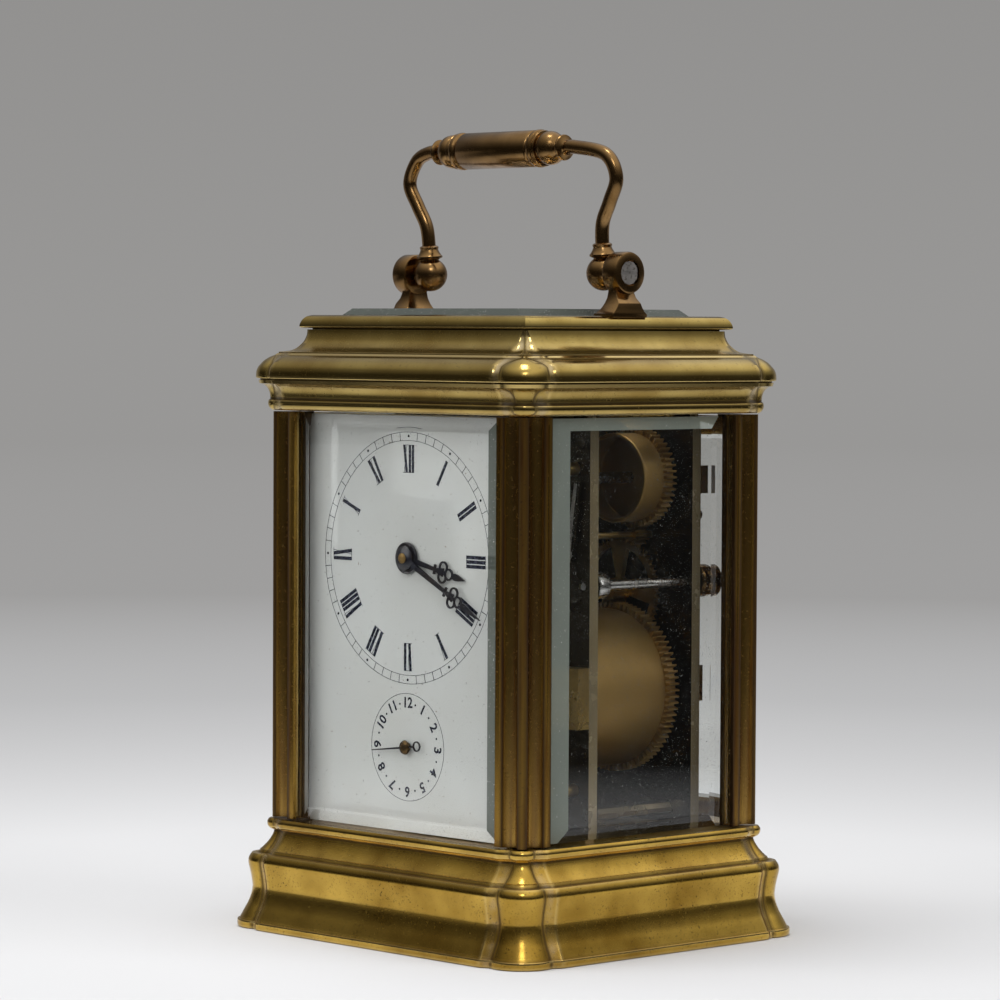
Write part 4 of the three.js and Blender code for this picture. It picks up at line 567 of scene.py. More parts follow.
corniceMould = {
    "runs": [
        (((0, 0.169), (0.02, 0.29), (0.05, 0.375), (0.085, 0.405), (0.118, 0.38), (0.136, 0.3)), 3),
        (((0.14, 0.285), (0.19, 0.3), (0.24, 0.36), (0.29, 0.5), (0.325, 0.72)), 3),
        (((0.33, 0.86), (0.372, 0.9)), 1),
        (((0.376, 0.82), (0.39, 0.82)), 1),
        (((0.395, 0.98), (0.405, 1), (0.44, 1), (0.481, 0.985), (0.53, 0.92), (0.574, 0.8), (0.61, 0.65),
          (0.64, 0.46), (0.662, 0.28), (0.68, 0.07)), 3),
        (((0.684, 0.03), (0.705, -0.05)), 1),
        (((0.707, -0.07), (0.722, -0.075)), 1),
        (((0.726, -0.2), (0.74, -0.42), (0.765, -0.64), (0.8, -0.83), (0.849, -1.02), (0.9, -1.13),
          (0.95, -1.205), (1, -1.251)), 3),
    ],
    "lobe": 0.2, "lobeGrowth": 1.85, "dip": 0.85, "edgeWearAndHighlight": 0.7,
    "litShelves": ((0.328, 0.374), (0.394, 0.403), (0.683, 0.706)),
    "shadedSeams": ((0.122, 0.16), (0.375, 0.392), (0.7065, 0.7225)),
    "low": (7.4, 5.4), "lowTop": 120.2, "high": (8.9, 8.9), "lap": 0.3,  # a low and a high room inside
}
# How far a corner's scoop and lobe run along each face, and how they grow with the overhang
cornerRun = {
    "run": 6.0, "growth": 0.85, "gorgeRun": 12.4, "gorgeGrowth": 2.04, "least": 0.4, "lobeLeast": 0.03,
    "dipMost": 0.2, "gorgeDip": 0.34, "gorgeReach": 2, "shareMost": 0.85, "lobeMiddle": 0.75,
    "flat": 6, "beforeCrease": 1.2, "scoopSteps": 6, "lobeSteps": 12, "lobeWearAndHighlight": 0.35, "edgeScoop": 0.2,
}


def profileOf(mould):
    made = []
    for points, steps in mould["runs"]:
        made += curveThrough(points, steps)
    return made


def within(spans, value):
    return any(low <= value <= high for low, high in spans)


# One quarter of a ring: a scoop, a lobe and a scoop, as distances in from the square corner,
# and how creased (painted shade), rubbed (painted highlight and wear) and scooped (pale residue,
# partly a painted sheen) each point is
def cornerPlan(overhang, mould, corner=cornerRun):
    plain = corner["run"] + corner["growth"] * overhang
    gorged = corner["gorgeRun"] + corner["gorgeGrowth"] * overhang
    run = max(min(plain, gorged), corner["least"])
    lobe = max(mould["lobe"] + mould["lobeGrowth"] * overhang, corner["lobeLeast"] * run)
    gorge = min(1.0, max(0.0, -overhang / corner["gorgeReach"]))
    dip = min(mould["dip"], corner["dipMost"] * run) * (1 - gorge) + corner["gorgeDip"] * run * gorge
    lobe = min(lobe, corner["shareMost"] * run - dip)
    crease = dip + lobe
    middle = dip + corner["lobeMiddle"] * lobe
    points = [(run + corner["flat"], 0, 0, 0, 0), (run + corner["beforeCrease"], 0, 0, 0, 0),
              (run, 0, 0, 1, corner["edgeScoop"])]
    steps = corner["scoopSteps"]
    for k in range(1, steps + 1):
        t = k / steps
        points.append((run - (run - crease) * t, dip * (1 - (1 - t) ** 2), t ** 6, 0, math.sin(math.pi * t)))
    mirrored = [(v, u, *marks) for u, v, *marks in reversed(points)]
    start = math.atan2(dip - middle, crease - middle)
    reach = math.hypot(crease - middle, dip - middle)
    sweep = -2 * (0.75 * math.pi + start)
    for k in range(1, corner["lobeSteps"]):
        share = k / corner["lobeSteps"]
        angle = start + sweep * share
        # The lobe is painted brighter towards its middle, as highlight and wear
        lobeWearAndShine = corner["lobeWearAndHighlight"] * math.sin(math.pi * share)
        points.append((middle + reach * math.cos(angle), middle + reach * math.sin(angle), 0, lobeWearAndShine, 0))
    return points + mirrored


def mouldRing(overhang, height, mould):
    ring, hollow, proud, scoop = [], [], [], []
    halfWidth, halfDepth = caseSize["halfWidth"], caseSize["halfDepth"]
    for sideX, sideY, flipped in ((1, 1, True), (-1, 1, False), (-1, -1, True), (1, -1, False)):
        plan = cornerPlan(overhang, mould)
        for u, v, low, high, scooped in (reversed(plan) if flipped else plan):
            ring.append((sideX * (halfWidth + overhang - u), sideY * (halfDepth + overhang - v), height))
            hollow.append(low)
            proud.append(high)
            scoop.append(scooped)
    return ring, hollow, proud, scoop


def addMoulding(name, mould, bottom, height, reach, finish):
    profile = [(rise * height, out * reach) for rise, out in profileOf(mould)]
    turning = bends([(out, rise) for rise, out in profile], caseSize["bend"])
    rings, crease, rub, scoops = [], [], [], []
    for (rise, out), turn in zip(profile, turning):
        ring, hollow, proud, scoop = mouldRing(out, bottom + rise, mould)
        scoops += scoop
        rings.append(ring)
        # Shelves are painted bright as highlight, seams painted dark as shade
        inkWearOrShelfLight = within(mould["litShelves"], rise / height)
        dark = within(mould["shadedSeams"], rise / height)
        crease += [0.0 if inkWearOrShelfLight else 1.0 if dark else max(low, -turn) for low in hollow]
        rub += [1.0 if inkWearOrShelfLight else max(0.0, high * mould["edgeWearAndHighlight"], turn) for high in proud]
    return loftRings(name, rings, finish, {"crease": crease, "rub": rub, "scoop": scoops})


# A block that is cut away, taken in from the outer faces of the case on all four sides
def innerBlock(inset, low, high, finish):
    x, y = caseSize["halfWidth"] - inset[0], caseSize["halfDepth"] - inset[1]
    return addBlock("tool", (-x, -y, low), (x, y, high), finish)


def makeBase(mould):
    size, over = caseSize, caseSize["overrun"]
    height = size["baseHeight"]
    thing = addMoulding("base_moulding_brass", mould, 0, height, size["baseReach"], baseBrass)
    cut(thing, innerBlock((mould["wall"], mould["wall"]), -over, height - mould["top"], baseBrass))
    (lowX, lowY), (highX, highY) = mould["well"]
    cut(thing, addBlock("tool", (lowX, lowY, 0), (highX, highY, height + over), baseBrass))
    smooth(thing)
    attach(thing, "case")
    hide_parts("base_moulding")


def makeCornice(mould):
    size, over = caseSize, caseSize["overrun"]
    bottom, height = size["corniceBottom"], size["corniceHeight"]
    thing = addMoulding("cornice_moulding_brass", mould, bottom, height, size["corniceReach"], mouldBrass)
    cut(thing, innerBlock(mould["low"], bottom - over, mould["lowTop"], mouldBrass))
    cut(thing, innerBlock(mould["high"], mould["lowTop"] - mould["lap"], bottom + height + over, mouldBrass))
    smooth(thing)
    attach(thing, "case")
    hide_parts("cornice_moulding")


topFrameLook = {
    "bottom": 135.5, "height": 2.95, "inset": 4.67, "open": (27.4, 24.4), "seat": (29.3, 26.3),
    "seatBottom": 136.85, "foot": ((-0.1, -0.45), (0, -0.45)), "bend": 0.3, "shadeBelow": 0.06, "sharp": 28,
    "profile": ((0, -0.2), (0.03, -0.08), (0.1, -0.01), (0.2, 0), (0.35, -0.02), (0.5, -0.055),
                (0.65, -0.105), (0.8, -0.18), (0.92, -0.28), (1, -0.45)),
}


def rectangleRing(x, y, height):
    return [(-x, -y, height), (x, -y, height), (x, y, height), (-x, y, height)]


def makeTopFrame(look):
    size = caseSize
    outer = list(look["foot"]) + curveThrough(look["profile"], 3)
    rings = []
    for rise, out in outer:
        inset = look["inset"] - out * look["inset"]
        rings.append(rectangleRing(size["halfWidth"] - inset, size["halfDepth"] - inset,
                                   look["bottom"] + rise * look["height"]))
    turning = bends([(out * look["inset"], rise * look["height"]) for rise, out in outer], look["bend"])
    corners = len(rings[0])
    # Convex bends take the painted highlight, and the foot where the frame sits on the cornice is painted
    # dark as shade
    marks = {"rub": [max(0, turn) for turn in turning for _ in range(corners)],
             "crease": [float(rise < look["shadeBelow"]) for rise, _ in outer for _ in range(corners)]}
    thing = loftRings("top_frame_brass", rings, mouldBrass, marks)
    top = size["caseTop"] + size["overrun"]
    for (x, y), low in ((look["seat"], look["seatBottom"]), (look["open"], look["bottom"] - size["overrun"])):
        cut(thing, addBlock("tool", (-x, -y, low), (x, y, top), mouldBrass))
    smooth(thing, look["sharp"])
    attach(thing, "case")
    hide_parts("top_frame")


makeBase(baseMould)
makeCornice(corniceMould)
makeTopFrame(topFrameLook)
print("mouldings made")


# Pillars: the outline of one outer face, in from the corner, then the glass rebates
pillarLook = {
    "run": 8.5, "body": 5.4, "rebateStart": 0.9, "rebateDepth": 1.3, "rebateWidth": 2.6,
    "bend": 0.45, "end": 2, "endShade": 0.45, "middleCrease": 0.09, "sharp": 38,
    "flat": ((8.5, 0), (7.4, 0), (6.35, 0.02)),
    "scoop": ((6.25, 0.08), (6.0, 0.7), (5.5, 1.32), (4.9, 1.66), (4.1, 1.78), (3.3, 1.68), (2.6, 1.3),
              (2.05, 0.62), (1.85, 0.3)),
    "nose": ((1.72, 0.26), (1.35, 0.22), (1.0, 0.28), (0.75, 0.42), (0.6, 0.6)),
}


def pillarSection(look, sideGroove):
    face = list(look["flat"]) + curveThrough(look["scoop"], 2) + curveThrough(look["nose"], 2)
    run, start = look["run"], look["rebateStart"]
    floor, end = run - look["rebateDepth"], start + look["rebateWidth"]
    groove = [(run, start), (floor, start), (floor, end), (run, end)]
    mirrored = [(v, u) for u, v in reversed(face[:-1])]
    inside = [(look["body"], run), (look["body"], look["body"]), (run, look["body"])]
    sideFace = list(reversed(groove)) if sideGroove else []
    return face + mirrored + [(v, u) for u, v in groove] + inside + sideFace


def makePillar(name, sideX, sideY, look):
    size = caseSize
    low, high, end = size["pillarBottom"], size["pillarTop"], look["end"]
    section = pillarSection(look, sideY < 0)
    turning = bends(section, look["bend"])
    rings = []
    for height in (low, low + end, high - end, high):
        rings.append([(sideX * (size["halfWidth"] - u), sideY * (size["halfDepth"] - v), height)
                      for u, v in section])
    # The pillar ends, where they meet the mouldings, are darkened through the crease mark as painted shade,
    # and the whole middle a little; convex bends take the painted highlight
    darkness = (look["endShade"], look["middleCrease"], look["middleCrease"], look["endShade"])
    marks = {"rub": [max(0, turn) for turn in turning] * len(rings),
             "crease": [max(0, -turn, dark) for dark in darkness for turn in turning]}
    thing = loftRings(name + "_brass", rings, caseBrass, marks)
    smooth(thing, look["sharp"])
    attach(thing, "case")
    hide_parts(name)


for name, sideX, sideY in (("pillar_front_left", -1, -1), ("pillar_front_right", 1, -1),
                           ("pillar_back_left", -1, 1), ("pillar_back_right", 1, 1)):
    makePillar(name, sideX, sideY, pillarLook)
print("pillars made")


# Panes: flat inside, bevelled round the outer face. All bevels of a pane slope alike, so the
# narrow ones along the mouldings begin higher up its edge.
paneLook = {
    "front_glass": {"axis": 1, "outward": -1, "wide": 4.7, "narrow": 2.7, "depth": 1.5, "body": "case",
                    "clear": glass, "edge": frontBevelGlass, "greyed": (1,)},
    "left_glass": {"axis": 0, "outward": -1, "wide": 7.4, "narrow": 2.7, "depth": 1.5, "body": "case",
                   "clear": sideGlass, "edge": bevelGlass, "greyed": (0, 3)},
    "right_glass": {"axis": 0, "outward": 1, "wide": 7.4, "narrow": 2.7, "depth": 1.5, "body": "case",
                    "clear": sideGlass, "edge": bevelGlass, "greyed": (0, 3)},
    "top_glass": {"axis": 2, "outward": 1, "wide": 1.6, "narrow": 1.5, "depth": 1.5, "body": "case",
                  "clear": glass, "edge": topBevelGlass, "greyed": (0, 1, 2, 3)},
    "door_glass": {"axis": 1, "outward": 1, "wide": 1.6, "narrow": 1.5, "depth": 0.3, "body": "door",
                   "clear": glass, "edge": bevelGlass, "greyed": ()},
}


def makePane(name, look):
    low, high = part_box(name)
    axis, outward = look["axis"], look["outward"]
    first, second = [k for k in range(3) if k != axis]
    inner, outer = (low[axis], high[axis]) if outward > 0 else (high[axis], low[axis])
    slope = look["depth"] / look["wide"]
    levels = ((0, 0, inner), (0, 0, outer - outward * look["depth"] * mm),
              (look["wide"] - look["narrow"], 0, outer - outward * look["narrow"] * slope * mm),
              (look["wide"], look["narrow"], outer))
    points = []
    for insetA, insetB, level in levels:
        for a, b in ((0, 0), (1, 0), (1, 1), (0, 1)):
            point = [0, 0, 0]
            point[axis] = level / mm
            point[first] = (high[first] / mm - insetA) if a else (low[first] / mm + insetA)
            point[second] = (high[second] / mm - insetB) if b else (low[second] / mm + insetB)
            points.append(point)
    faces = [(4, 7, 11, 15, 12, 8), (5, 6, 10, 14, 13, 9), (8, 9, 13, 12), (11, 10, 14, 15), (0, 1, 2, 3),
             (12, 13, 14, 15), (0, 3, 7, 4), (1, 2, 6, 5), (0, 1, 5, 9, 8, 4), (3, 2, 6, 10, 11, 7)]
    thing = addMesh(name + "_pane", points, faces, look["clear"])
    thing.data.materials.append(look["edge"])
    for face in thing.data.polygons:
        face.material_index = 1 if face.index in look["greyed"] else 0
    turnOutward(thing)
    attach(thing, look["body"])
    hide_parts(name)


for name, look in paneLook.items():
    makePane(name, look)
print("panes made")


# Turned pieces: a profile of radius and distance, spun round an axis
def lathe(name, profile, finish, steps=48, axis="Z", at=(0, 0, 0)):
    points, faces, ends = [], [], []
    for radius, along in profile:
        if radius == 0:
            ends.append((len(points), 1))
            points.append((0, 0, along))
            continue
        ends.append((len(points), steps))
        for i in range(steps):
            angle = 2 * math.pi * i / steps
            points.append((radius * math.cos(angle), radius * math.sin(angle), along))
    for (low, lowCount), (high, highCount) in zip(ends, ends[1:]):
        for i in range(steps):
            j = (i + 1) % steps
            if lowCount == 1 and highCount == 1:
                continue
            if lowCount == 1:
                faces.append((low, high + i, high + j))
            elif highCount == 1:
                faces.append((low + i, low + j, high))
            else:
                faces.append((low + i, low + j, high + j, high + i))
    if axis == "X":
        points = [(z, x, y) for x, y, z in points]
    elif axis == "Y":
        points = [(y, z, x) for x, y, z in points]
    points = [tuple(a + b for a, b in zip(p, at)) for p in points]
    thing = addMesh(name, points, faces, finish)
    turnOutward(thing)
    return thing


# A plain rod along Y
def rod(at, radius, front, back, finish, steps=40):
    profile = [(0, front), (radius, front), (radius, back), (0, back)]
    return lathe("rod", profile, finish, steps, "Y", (at[0], 0, at[1]))


def join(thing, *others):
    for other in others:
        step = thing.modifiers.new("join", "BOOLEAN")
        step.operation = "UNION"
        step.solver = "EXACT"
        step.object = other
        settle(thing)
        bpy.data.objects.remove(other)
    return thing


# A round bar along a path
def bar(name, path, radius, finish, sides=20):
    rings = []
    normal = Vector((0, 1, 0))
    for i, point in enumerate(path):
        before, after = Vector(path[max(i - 1, 0)]), Vector(path[min(i + 1, len(path) - 1)])
        ahead = (after - before).normalized()
        across = ahead.cross(normal).normalized()
        rings.append([tuple(Vector(point) + radius * (math.cos(a) * across + math.sin(a) * normal))
                      for a in (2 * math.pi * k / sides for k in range(sides))])
    return loftRings(name, rings, finish)


# The handle is drawn round its pivot axis at height zero, then leant forward and lifted
handleLook = {
    "pivot": 147.85, "lean": 4.5, "halfSpan": 28.2, "ball": 3.85, "ballAngles": range(-82, 83, 8),
    "tube": 1.57, "swell": 5.4, "bow": ((0, 0.126), (0.07, 0.38), (0.55, 0.56), (1, 0.75), (0.45, 0.935)),
    "bowEnds": (4.8, 1.6), "bowSteps": 9, "gripRise": 27.8, "gripShift": -2.4, "gripHalf": 19.0,
    "neckUnit": 3.5, "neck": ((0, 0.5), (2.1, 0.5), (2.1, 0.98), (2.55, 1.02), (2.95, 1.1), (2.95, 1.2),
                              (2.7, 1.27), (2.3, 1.45), (2.05, 1.62), (2.15, 1.72), (2.2, 1.8), (1.9, 1.87),
                              (1.6, 1.9), (0, 1.9)),
    "ring": ((0, 0.3), (1.6, 0.3), (1.75, 0.5), (2.5, 0.75), (2.85, 1.05), (2.9, 1.3), (2.75, 1.55),
             (2.2, 1.75), (1.75, 2.0), (1.62, 2.4), (0, 2.4)),
    "steps": 40, "gripSteps": 56, "sharp": 34,
}


def leanHandle(thing, look):
    lean = Matrix.Rotation(math.radians(look["lean"]), 4, "X")
    thing.data.transform(Matrix.Translation((0, 0, look["pivot"] * mm)) @ lean)
    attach(thing, "handle")


def makeArm(side, look):
    name = "handle_arm_right" if side > 0 else "handle_arm_left"
    span, ball, rise, steps = look["halfSpan"], look["ball"], look["gripRise"], look["steps"]
    collar = look["gripShift"] * side + look["gripHalf"]
    bow = [(span + look["swell"] * out, 0, rise * up) for out, up in look["bow"]]
    bow += [(collar + end, 0, rise) for end in look["bowEnds"]]
    path = [(side * x, y, z) for x, y, z in curveThrough(bow, look["bowSteps"])]
    thing = bar(name + "_tube", path, look["tube"], handleBrass)
    angles = [math.radians(degrees) for degrees in look["ballAngles"]]
    globe = [(0, -ball)] + [(ball * math.cos(a), ball * math.sin(a)) for a in angles] + [(0, ball)]
    neck = [(radius, up * look["neckUnit"]) for radius, up in look["neck"]]
    ring = [(radius, side * (collar + x)) for radius, x in look["ring"]]
    foot = (side * span, 0, 0)
    join(thing, lathe("tool", globe, handleBrass, steps, "Z", foot),
         lathe("tool", neck, handleBrass, steps, "Z", foot),
         lathe("tool", ring, handleBrass, steps, "X", (0, 0, rise)))
    thing.name = name + "_turned"
    smooth(thing, look["sharp"])
    leanHandle(thing, look)
    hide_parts(name)


# The right half of the turned grip, from its middle outwards
gripProfile = (
    (4.1, 0), (4.12, 0.5), (4.12, 10.9), (4.05, 11.05), (3.75, 11.2), (3.6, 11.45), (3.6, 11.7),
    (3.85, 11.85), (4.15, 12.1), (4.25, 12.5), (4.25, 12.9), (4.1, 13.2), (3.8, 13.35), (3.75, 13.5),
    (3.95, 13.7), (4.05, 14.0), (3.9, 14.3), (3.3, 14.4), (3.25, 14.55), (3.55, 14.9), (3.75, 15.4),
    (3.8, 16.0), (3.65, 16.9), (3.2, 17.8), (2.5, 18.5), (1.95, 18.85), (1.8, 19.0),
)


def makeGrip(half, look):
    end, mirrored = look["gripHalf"], [(radius, -x) for radius, x in reversed(half)]
    profile = [(0, -end)] + mirrored + list(half[1:]) + [(0, end)]
    place = (look["gripShift"], 0, look["gripRise"])
    thing = lathe("handle_grip_turned", profile, handleBrass, look["gripSteps"], "X", place)
    smooth(thing, look["sharp"])
    leanHandle(thing, look)
    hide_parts("handle_grip")


makeArm(1, handleLook)
makeArm(-1, handleLook)
makeGrip(gripProfile, handleLook)
print("handle made")


# Lugs: an eye on a neck that spreads into a square foot. The flare gives the width at shares of
# the height, and the taper says from where on the outer face stands back.
lugLook = {
    "outer": 36.5, "inner": 32.1, "radius": 4.65, "bottom": 138.1, "footOuter": 36.4, "footInner": 30.5,
    "neckOuter": 34.85, "neckInset": 0.3, "neckWide": 0.52, "taper": (3, 6), "footHalf": 5.35,
    "headRadius": 2.85, "headDepth": 1.2, "bevel": 0.25, "bevelFrom": 30, "steps": 48, "sharp": 34,
    "flare": ((0, 1), (0.09, 1), (0.1, 0.93), (0.14, 0.86), (0.22, 0.74), (0.32, 0.64), (0.44, 0.56),
              (0.58, 0.52), (0.72, 0.54), (0.84, 0.6)),
    "innerEdge": ((0.5, 0), (0.15, 0.15), (0, 0.5)), "outerEdge": ((0, 0.6), (0.18, 0.18), (0.6, 0)),
}


def lugNeck(look, rise):
    rings = []
    start, fall = look["taper"]
    neckInner = look["inner"] + look["neckInset"]
    for up, wide in look["flare"]:
        half, level = look["footHalf"] * wide, look["bottom"] + up * rise
        spread = max(0.0, (wide - look["neckWide"]) / (1 - look["neckWide"]))
        inner = neckInner - spread * (neckInner - look["footInner"])
        forward = min(1, max(0, start - fall * up))
        outer = look["neckOuter"] + forward * (look["footOuter"] - look["neckOuter"])
        rings.append([(inner, -half, level), (outer, -half, level),
                      (outer, half, level), (inner, half, level)])
    return rings


def makeLug(side, look):
    name = "right_lug" if side > 0 else "left_lug"
    pivot, steps = handleLook["pivot"], look["steps"]
    thing = loftRings(name + "_neck", lugNeck(look, pivot - look["bottom"]), handleBrass)
    bevel(thing, look["bevel"], 2, look["bevelFrom"])
    inner, outer, radius = look["inner"], look["outer"], look["radius"]
    eye = [(0, inner)] + [(radius - r, inner + x) for r, x in look["innerEdge"]]
    eye += [(radius - r, outer - x) for r, x in look["outerEdge"]] + [(0, outer)]
    join(thing, lathe("tool", eye, handleBrass, steps, "X", (0, 0, pivot)))
    bore, floor, past = look["headRadius"], outer - look["headDepth"], outer + caseSize["overrun"]
    drill = [(0, floor), (bore, floor), (bore, past), (0, past)]
    cut(thing, lathe("tool", drill, handleBrass, steps, "X", (0, 0, pivot)))
    if side < 0:
        thing.data.transform(Matrix.Scale(-1, 4, (1, 0, 0)))
        turnOutward(thing)
    thing.name = name + "_brass"
    smooth(thing, look["sharp"])
    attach(thing, "case")
    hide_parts(name)


makeLug(1, lugLook)
makeLug(-1, lugLook)
print("lugs made")


# Geometry Nodes: like marks set in a ring that faces the dial side
class Grow:
    def __init__(self, name, inputs):
        self.tree = bpy.data.node_groups.new(name, "GeometryNodeTree")
        for label, kind, value in inputs:
            made = self.tree.interface.new_socket(label, in_out="INPUT", socket_type="NodeSocket" + kind)
            if value is not None:
                made.default_value = value
        self.tree.interface.new_socket("Geometry", in_out="OUTPUT", socket_type="NodeSocketGeometry")
        self.given = self.tree.nodes.new("NodeGroupInput")

    def value(self, label):
        return self.given.outputs[label]

    def node(self, kind, settings=None, inputs=None, output=0):
        made = self.tree.nodes.new(kind)
        for key, value in (settings or {}).items():
            setattr(made, key, value)
        for key, value in (inputs or {}).items():
            if isinstance(value, bpy.types.NodeSocket):
                self.tree.links.new(value, made.inputs[key])
            else:
                made.inputs[key].default_value = value
        return made.outputs[output]

    def sum(self, operation, first, second):
        return self.node("ShaderNodeMath", {"operation": operation}, {0: first, 1: second})

    def finish(self, geometry):
        whole = self.node("GeometryNodeRealizeInstances", None, {"Geometry": geometry})
        finish = self.value("Finish")
        dressed = self.node("GeometryNodeSetMaterial", None, {"Geometry": whole, "Material": finish})
        end = self.tree.nodes.new("NodeGroupOutput")
        self.tree.links.new(dressed, end.inputs["Geometry"])
        return self.tree


def ringTree():
    grow = Grow("marks in a ring", [
        ("Count", "Int", 60), ("Radius", "Float", 0.02), ("Sides", "Int", 4), ("Foot", "Float", 0.001),
        ("Tip", "Float", 0.001), ("Height", "Float", 0.001), ("Stretch", "Vector", (1, 1, 1)),
        ("Tilt", "Vector", (0, 0, 0)), ("Start", "Float", 0.0), ("Every", "Int", 1), ("Leave", "Int", -1),
        ("Middle", "Vector", (0, 0, 0)), ("Finish", "Material", None),
    ])
    index = grow.node("GeometryNodeInputIndex")
    share = grow.sum("DIVIDE", index, grow.value("Count"))
    angle = grow.sum("ADD", grow.sum("MULTIPLY", share, 2 * math.pi), grow.value("Start"))
    across = grow.sum("MULTIPLY", grow.sum("SINE", angle, 0.0), grow.value("Radius"))
    up = grow.sum("MULTIPLY", grow.sum("COSINE", angle, 0.0), grow.value("Radius"))
    spot = grow.node("ShaderNodeCombineXYZ", None, {"X": across, "Z": up})
    spots = grow.node("GeometryNodePoints", None, {"Count": grow.value("Count"), "Position": spot})
    turned = grow.node("ShaderNodeCombineXYZ", None, {"Y": angle})
    remainder = grow.sum("MODULO", index, grow.value("Every"))
    kept = grow.node("FunctionNodeCompare", {"data_type": "FLOAT", "operation": "NOT_EQUAL"},
                     {"A": remainder, "B": grow.value("Leave")})
    shape = grow.node("GeometryNodeMeshCone", None, {
        "Vertices": grow.value("Sides"), "Radius Top": grow.value("Tip"),
        "Radius Bottom": grow.value("Foot"), "Depth": grow.value("Height"),
    })
    squared = grow.node("GeometryNodeTransform", None, {"Geometry": shape, "Rotation": (0, 0, math.pi / 4)})
    tilted = grow.node("GeometryNodeTransform", None, {
        "Geometry": squared, "Rotation": grow.value("Tilt"), "Scale": grow.value("Stretch"),
    })
    marks = grow.node("GeometryNodeInstanceOnPoints", None, {
        "Points": spots, "Selection": kept, "Instance": tilted, "Rotation": turned,
    })
    middle = grow.value("Middle")
    return grow.finish(grow.node("GeometryNodeTransform", None, {"Geometry": marks, "Translation": middle}))


markRing = ringTree()


def growRing(name, values, finish):
    mesh = bpy.data.meshes.new(name)
    thing = bpy.data.objects.new(name, mesh)
    bpy.context.collection.objects.link(thing)
    step = thing.modifiers.new("grow", "NODES")
    step.node_group = markRing
    sockets = {item.name: item.identifier for item in markRing.interface.items_tree
               if item.item_type == "SOCKET" and item.in_out == "INPUT"}
    for label, value in {**values, "Finish": finish}.items():
        step[sockets[label]] = value
    settle(thing)
    if not thing.data.materials:
        thing.data.materials.append(finish)
    return thing


# Dial: printed work lies a hair above the enamel. The strokes of a numeral stand in steps, so no
# two of them share a face, and a square mark is sized by its corner.
dialLook = {
    "front": -31.0, "ink": 0.035, "inkStep": 0.002, "centre": (0, 85.1), "alarm": (0, 43.4),
    "ringOuter": 27.75, "ringInner": 25.9, "line": 0.1, "tick": 0.13, "dot": 0.3, "corner": 0.7071,
    "numeralTop": 24.85, "numeralFoot": 18.8, "stroke": 0.78, "hair": 0.11, "crossWidth": 1.6,
    "widths": {"I": 1.0, "V": 1.75, "X": 1.85}, "hairShift": 0.1, "serifInset": 0.1,
    "alarmRing": 11.9, "alarmDot": 0.24, "alarmNumber": 3.2, "alarmNumberAt": 9.75, "alarmBold": 0.085,
}


def prism(name, outline, front, back, finish):
    count = len(outline)
    points = [(x, front, z) for x, z in outline] + [(x, back, z) for x, z in outline]
    faces = [tuple(range(count)), tuple(reversed(range(count, 2 * count)))]
    faces += [(i, (i + 1) % count, count + (i + 1) % count, count + i) for i in range(count)]
    thing = addMesh(name, points, faces, finish)
    turnOutward(thing)
    return thing


def gather(name, things, finish):
    work = bmesh.new()
    for thing in things:
        work.from_mesh(thing.data)
        bpy.data.objects.remove(thing)
    mesh = bpy.data.meshes.new(name)
    work.to_mesh(mesh)
    work.free()
    mesh.materials.append(finish)
    whole = bpy.data.objects.new(name, mesh)
    bpy.context.collection.objects.link(whole)
    return whole


def hoop(name, middle, outer, inner, front, back, finish, steps=160):
    x, z = middle
    rings = []
    for radius, depth in ((outer, front), (outer, back), (inner, back), (inner, front)):
        rings.append([(x + radius * math.sin(a), depth, z + radius * math.cos(a))
                      for a in (2 * math.pi * i / steps for i in range(steps))])
    points = [p for ring in rings for p in ring]
    faces = []
    for k in range(4):
        low, high = k * steps, (k + 1) % 4 * steps
        faces += [(low + i, low + (i + 1) % steps, high + (i + 1) % steps, high + i) for i in range(steps)]
    thing = addMesh(name, points, faces, finish)
    turnOutward(thing)
    return thing


# Strokes of a numeral, as outlines with x to the right and z up, middle at zero
def numeralStrokes(text, look):
    foot, top, thick, hair = look["numeralFoot"], look["numeralTop"], look["stroke"], look["hair"]
    widths = look["widths"]
    total = sum(widths[letter] for letter in text)
    strokes, at = [], -total / 2

    def slanted(lowX, highX, width):
        half = width / 2
        strokes.append([(lowX - half, foot), (lowX + half, foot), (highX + half, top), (highX - half, top)])

    for letter in text:
        middle = at + widths[letter] / 2
        half = look["crossWidth"] / 2 - thick / 2
        if letter == "I":
            slanted(middle, middle, thick)
        elif letter == "V":
            slanted(middle, middle - half, thick)
            slanted(middle + look["hairShift"], middle + half, hair)
        else:
            slanted(middle + half, middle - half, thick)
            slanted(middle - half, middle + half, hair)
        at += widths[letter]
    reach = total / 2 - look["serifInset"]
    for level in (foot, top):
        strokes.append([(-reach, level - hair / 2), (reach, level - hair / 2),
                        (reach, level + hair / 2), (-reach, level + hair / 2)])
    return strokes


def turnAbout(points, angle, middle):
    x, z = middle
    return [(x + u * math.cos(angle) + v * math.sin(angle), z - u * math.sin(angle) + v * math.cos(angle))
            for u, v in points]


